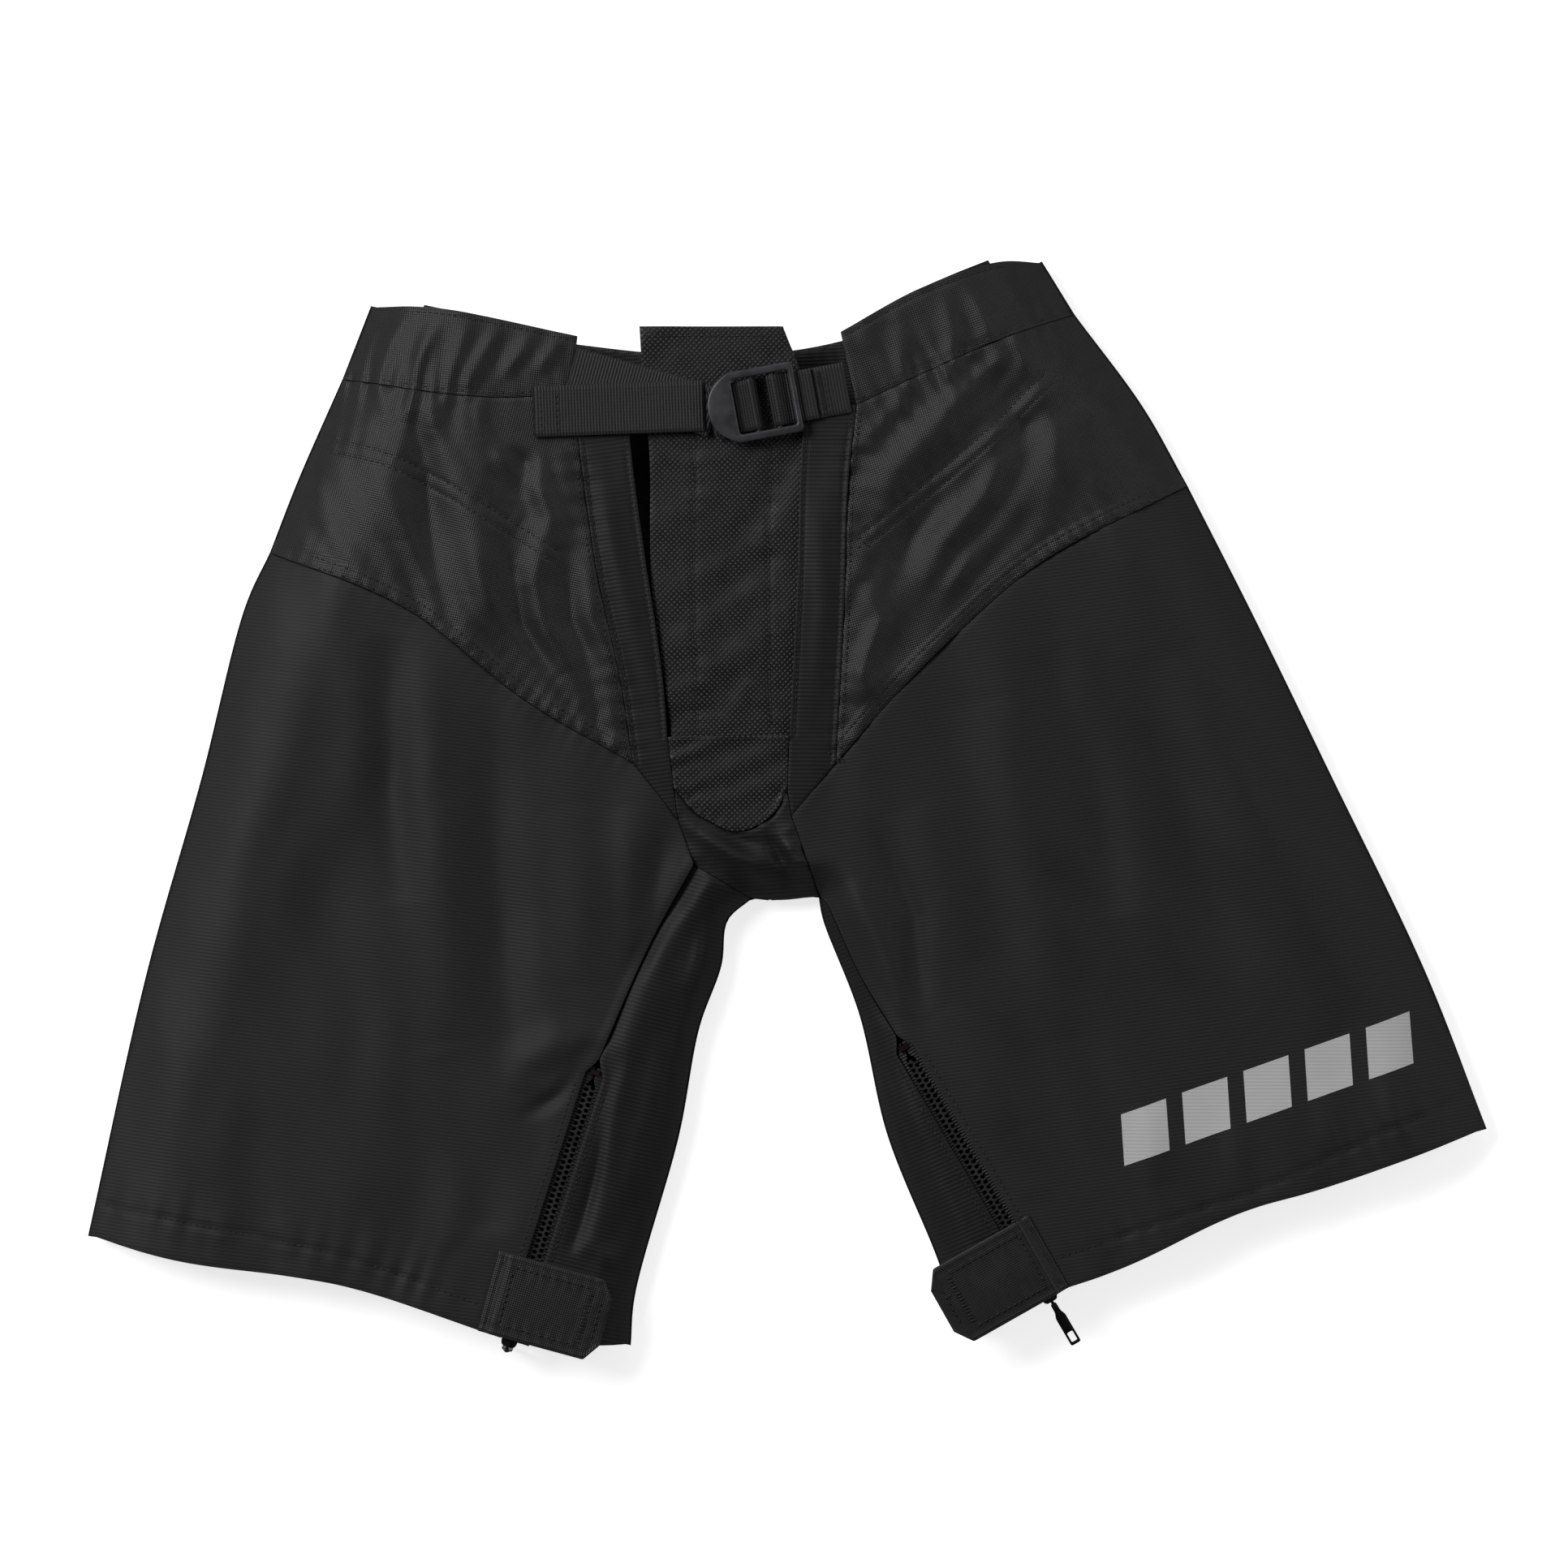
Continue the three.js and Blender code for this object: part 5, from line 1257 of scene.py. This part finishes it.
window_start, window_end, frame_half, frame_end = -8.9, 19.6, 17.5, 22.5
lip = bezier((window_start - 1, frame_half), (-19.5, 13.1), (-frame_end, 7), (-frame_end, 0))
corners = rounded_corners(
    [(frame_end, -frame_half), (frame_end, frame_half), (0, frame_half), (0, -frame_half)], 3.0,
)[:10]
frame_outline = np.vstack([corners, lip, (lip * (1, -1))[::-1][1:]])
frame_window = rounded_corners(
    [(window_start, -13.7), (window_start, 13.7), (window_end, 13.7), (window_end, -13.7)], 1.6,
)
flange = [
    (window_start + 0.2, 13.9), (window_end - 0.2, 13.9), (window_end - 0.2, 16.6),
    (window_start + 0.2, 16.6),
]
flanges = [
    lifted(
        plate([rounded_corners(np.array(flange) * (1, way), 0.8)], 2.4, 0.3), BAR_HEIGHT - 0.1,
    ) for way in (1, -1)
]
bars = [rod(u, BAR_HEIGHT, BAR, 14.2) for u in (ADJUST_BAR, ANCHOR_BAR)]
buckle_parts = [lifted(plate([frame_outline, frame_window], 3.3, 1.0), BUCKLE_LEVEL + 1.65), *flanges, *bars]
points, faces = [], []
for part_points, part_faces in buckle_parts:
    faces += [[k + sum(map(len, points)) for k in face] for face in part_faces]
    points.append(part_points)
build(
    "buckle_frame", placed(np.vstack(points), buckle_foot, buckle_turn), faces, buckle_acetal,
    body="belt_buckle", nodes=["belt_buckle"], angle=40,
)

# %% [markdown]
# ## Print
# The shell carries a white print near one hem. A plain row of slanted bars stands in its place.

# %% Slanted bars of transfer film
MARK_FOOT, MARK_TURN, MARK_HEIGHT, BAR_WIDTH, BAR_STEP, LEAN = (166, -178), math.radians(19.5), 25, 24, 32, 7
BAR_COUNT, FILM_LEVELS = 5, (0.28, 0.06)


def on_print(s, t):
    c, n = math.cos(MARK_TURN), math.sin(MARK_TURN)
    return np.array(MARK_FOOT) + (s * c - t * n, s * n + t * c)


for k in range(BAR_COUNT):
    a, b = k * BAR_STEP, k * BAR_STEP + BAR_WIDTH
    foot_a, foot_b = on_print(a, 0), on_print(b, 0)
    head_a, head_b = on_print(a + LEAN, MARK_HEIGHT), on_print(b + LEAN, MARK_HEIGHT)
    edges = seam(foot_a, foot_b), seam(head_a, head_b), seam(foot_a, head_a), seam(foot_b, head_b)
    net, columns, rows = grid_between(*edges, 2.2)
    x, y = net[..., 0].ravel(), net[..., 1].ravel()
    z = surfaces["front_leg_left"](x, y)
    upper, lower = (np.column_stack([x + SHIFT[0], y + SHIFT[1], z + lift]) for lift in FILM_LEVELS)
    weave = np.column_stack([x, y, 0 * x])
    points, faces = np.vstack([upper, lower]), sheet_faces(columns, rows)
    build(f"print_bar_{k + 1}", points, faces, film, np.vstack([weave, weave]))
print(BAR_COUNT, "bars of film,", MARK_HEIGHT, "mm high")

# %% [markdown]
# ## Stitches
# Each stitch is a short loop of thread that dives into the cloth at both ends. At this size they read
# as a dashed line. They are cheap to model, and they catch the light in a way that no texture does.


# %% Short capsules of thread along a line
def stitch_pairs(points, pitch=3.3, length=2.4):
    walked = np.concatenate([[0], np.cumsum(np.linalg.norm(np.diff(points, axis=0), axis=1))])
    starts = np.arange(0.5, walked[-1] - length, pitch)
    at = lambda s: np.column_stack([np.interp(s, walked, points[:, k]) for k in range(3)])
    pairs = np.stack([at(starts), at(starts + length)], 1)
    way = pairs[:, 1] - pairs[:, 0]
    flat = np.hypot(way[:, 0], way[:, 1])
    return pairs[(flat > 0.7 * length) & (np.abs(way[:, 2]) < 0.7 * flat)]


def bartack(points, length=3.0, pitch=0.75):
    pairs = stitch_pairs(points, pitch, 0.3)
    way = pairs[:, 1] - pairs[:, 0]
    way /= np.linalg.norm(way, axis=1, keepdims=True)
    side = np.column_stack([-way[:, 1], way[:, 0], 0 * way[:, 0]]) * length / 2
    lean = way * 0.3
    return np.stack([pairs[:, 0] - side - lean, pairs[:, 0] + side + lean], 1)


def sewn(name, pairs, body="shell", width=0.62):
    pairs = np.concatenate(pairs)
    middle, way = pairs.mean(1), pairs[:, 1] - pairs[:, 0]
    up = np.cross(np.cross(way, (0, 0, 1)), way)
    up /= np.linalg.norm(up, axis=1, keepdims=True)
    side = np.cross(up, way)
    side /= np.linalg.norm(side, axis=1, keepdims=True)
    rings = [(-0.5, 0.25, -0.32), (-0.34, 0.85, 0.02), (0, 1.0, 0.12), (0.34, 0.85, 0.02), (0.5, 0.25, -0.32)]
    angle = np.linspace(0, 2 * np.pi, 6, endpoint=False)
    points = []
    for along, grow, lift in rings:
        for a in angle:
            points.append(
                middle + way * along + (
                    side * math.cos(a) + up * math.sin(a)
                ) * grow * width / 2 + up * lift
            )
    points = np.stack(points, 1)
    each = [
        [
            r * 6 + k, r * 6 + (k + 1) % 6, (r + 1) * 6 + (k + 1) % 6, (r + 1) * 6 + k,
        ] for r in range(4) for k in range(6)
    ]
    each += [[5, 4, 3, 2, 1, 0], [24, 25, 26, 27, 28, 29]]
    faces = [[30 * s + k for k in face] for s in range(len(pairs)) for face in each]
    flat = points.reshape(-1, 3)
    build(name, flat, faces, thread, flat, body=body, angle=180)
    print(name, len(pairs), "stitches")


def on_cloth(panel, line, lift=0.12):
    line = np.array(line, float)
    return np.column_stack([line + SHIFT, surfaces[panel](line[:, 0], line[:, 1]) + lift])


def rows_on(panel, *lines):
    return [stitch_pairs(on_cloth(panel, line)) for line in lines]


# %% Rows on the front
CROSS = [np.array([(34, 126), (42, 133)], float), np.array([(34, 133), (42, 126)], float)]
ZIP_STRAIGHT = slice(0, 40)
front_rows = {"yoke": {}, "band": {}, "strip": {}, "leg": {}, "thigh": {}}
for side, way in left_of_line.items():
    edge, outer, inner = yoke_seam[side], fly_outer[side], fly_inner[side]
    front_rows["yoke"][side] = ("front_yoke_", [
        beside(edge, YOKE_ROW_NEAR), beside(edge, YOKE_ROW_FAR), slant[side], beside(slant[side], SLANT_ROW),
        beside(outer, STRIP_ROW * way), *(CROSS if side == "left" else []),
    ])
    front_rows["band"][side] = (
        "front_waistband_", [beside(band_seam[side], BAND_ROW), beside(waist_edge[side], WAIST_ROW)],
    )
    front_rows["strip"][side] = (
        "fly_strip_", [beside(outer, -STRIP_ROW * way), beside(inner, STRIP_ROW * way)],
    )
    front_rows["leg"][side] = (
        "front_leg_", [hem_line[side], beside(zip_leg[side][ZIP_STRAIGHT], ZIP_ROW * way)],
    )
    front_rows["thigh"][side] = ("inner_thigh_", [beside(zip_thigh[side][ZIP_STRAIGHT], -ZIP_ROW * way)])
for place, both in front_rows.items():
    for side, (panel, lines) in both.items():
        sewn(f"stitches_{place}_{side}", rows_on(panel + side, *lines))
sewn("stitches_tongue", rows_on("fly_tongue", tongue_line_r, tongue_line_l, seam((-70, 231), (-5, 231))))
pocket_rows = [beside(pocket_seam, 2.6), beside(pocket_head, POCKET_HEAD_ROW)]
sewn("stitches_pocket", rows_on("tongue_pocket", *pocket_rows))

# %% Rows on the back
hem_row_r = seam((-338, -197), (-300, -208), (-220, -220), (-145, -241), (-82, -252))
hem_row_l = seam((88, -244), (140, -222), (224, -186), (268, -171), (338, -146))
for side, edge, hem_row in (("right", seat_seam_r, hem_row_r), ("left", seat_seam_l, hem_row_l)):
    sewn(
        "stitches_back_" + side,
        rows_on("seat_" + side, beside(edge, 2.5)) + rows_on("back_leg_" + side, hem_row),
    )
sewn(
    "stitches_back_band",
    rows_on("back_waistband_outer", beside(band_back, BAND_ROW), beside(back_edge, -3)),
)

# %% Rows and bartacks on the tabs and the belt
for side, (foot, turn, _, _) in tabs.items():
    top = TAB_UNDER + TAB_THICKNESS + 0.3

    def fine(a, b):
        line = [(a[0] + (b[0] - a[0]) * t, a[1] + (b[1] - a[1]) * t) for t in np.linspace(0, 1, 20)]
        return placed(
            [(u, v, top + float(tab_relief(np.array(u), np.array(v)))) for u, v in line], foot, turn
        )

    long_rows = [fine((9, v), (49, v)) for v in (-TAB_ROW, TAB_ROW)]
    box = [*long_rows, fine((9, -TAB_ROW), (9, TAB_ROW)), fine((55, -10), (55, 10))]
    pairs = [stitch_pairs(line) for line in box] + [bartack(fine((49, -13), (49, 13)), 3.4, 1.7)]
    if side == "left":
        pairs += [stitch_pairs(fine((56, -6), (52, -2))), stitch_pairs(fine((52, -6), (56, -2)))]
    sewn("stitches_tab_" + side, pairs, "hem_tab_" + side, 0.7)
web_top = TAIL_LEVEL + WEB + 0.08
column = lambda u, foot, turn: placed([(u, v, web_top) for v in np.linspace(-11, 11, 12)], foot, turn)
bar_row, plain_row = (column(u, buckle_foot, buckle_turn) for u in (33.5, 36.5))
sewn("stitches_anchor", [bartack(bar_row, 2.0, 1.1), stitch_pairs(plain_row)])
tail_way = np.array(tail_end) - np.array(tail_start)
tail_turn = math.atan2(tail_way[1], tail_way[0])
sewn("stitches_tail", [stitch_pairs(column(u, tail_start, tail_turn)) for u in (12, 4)], "belt_tail")
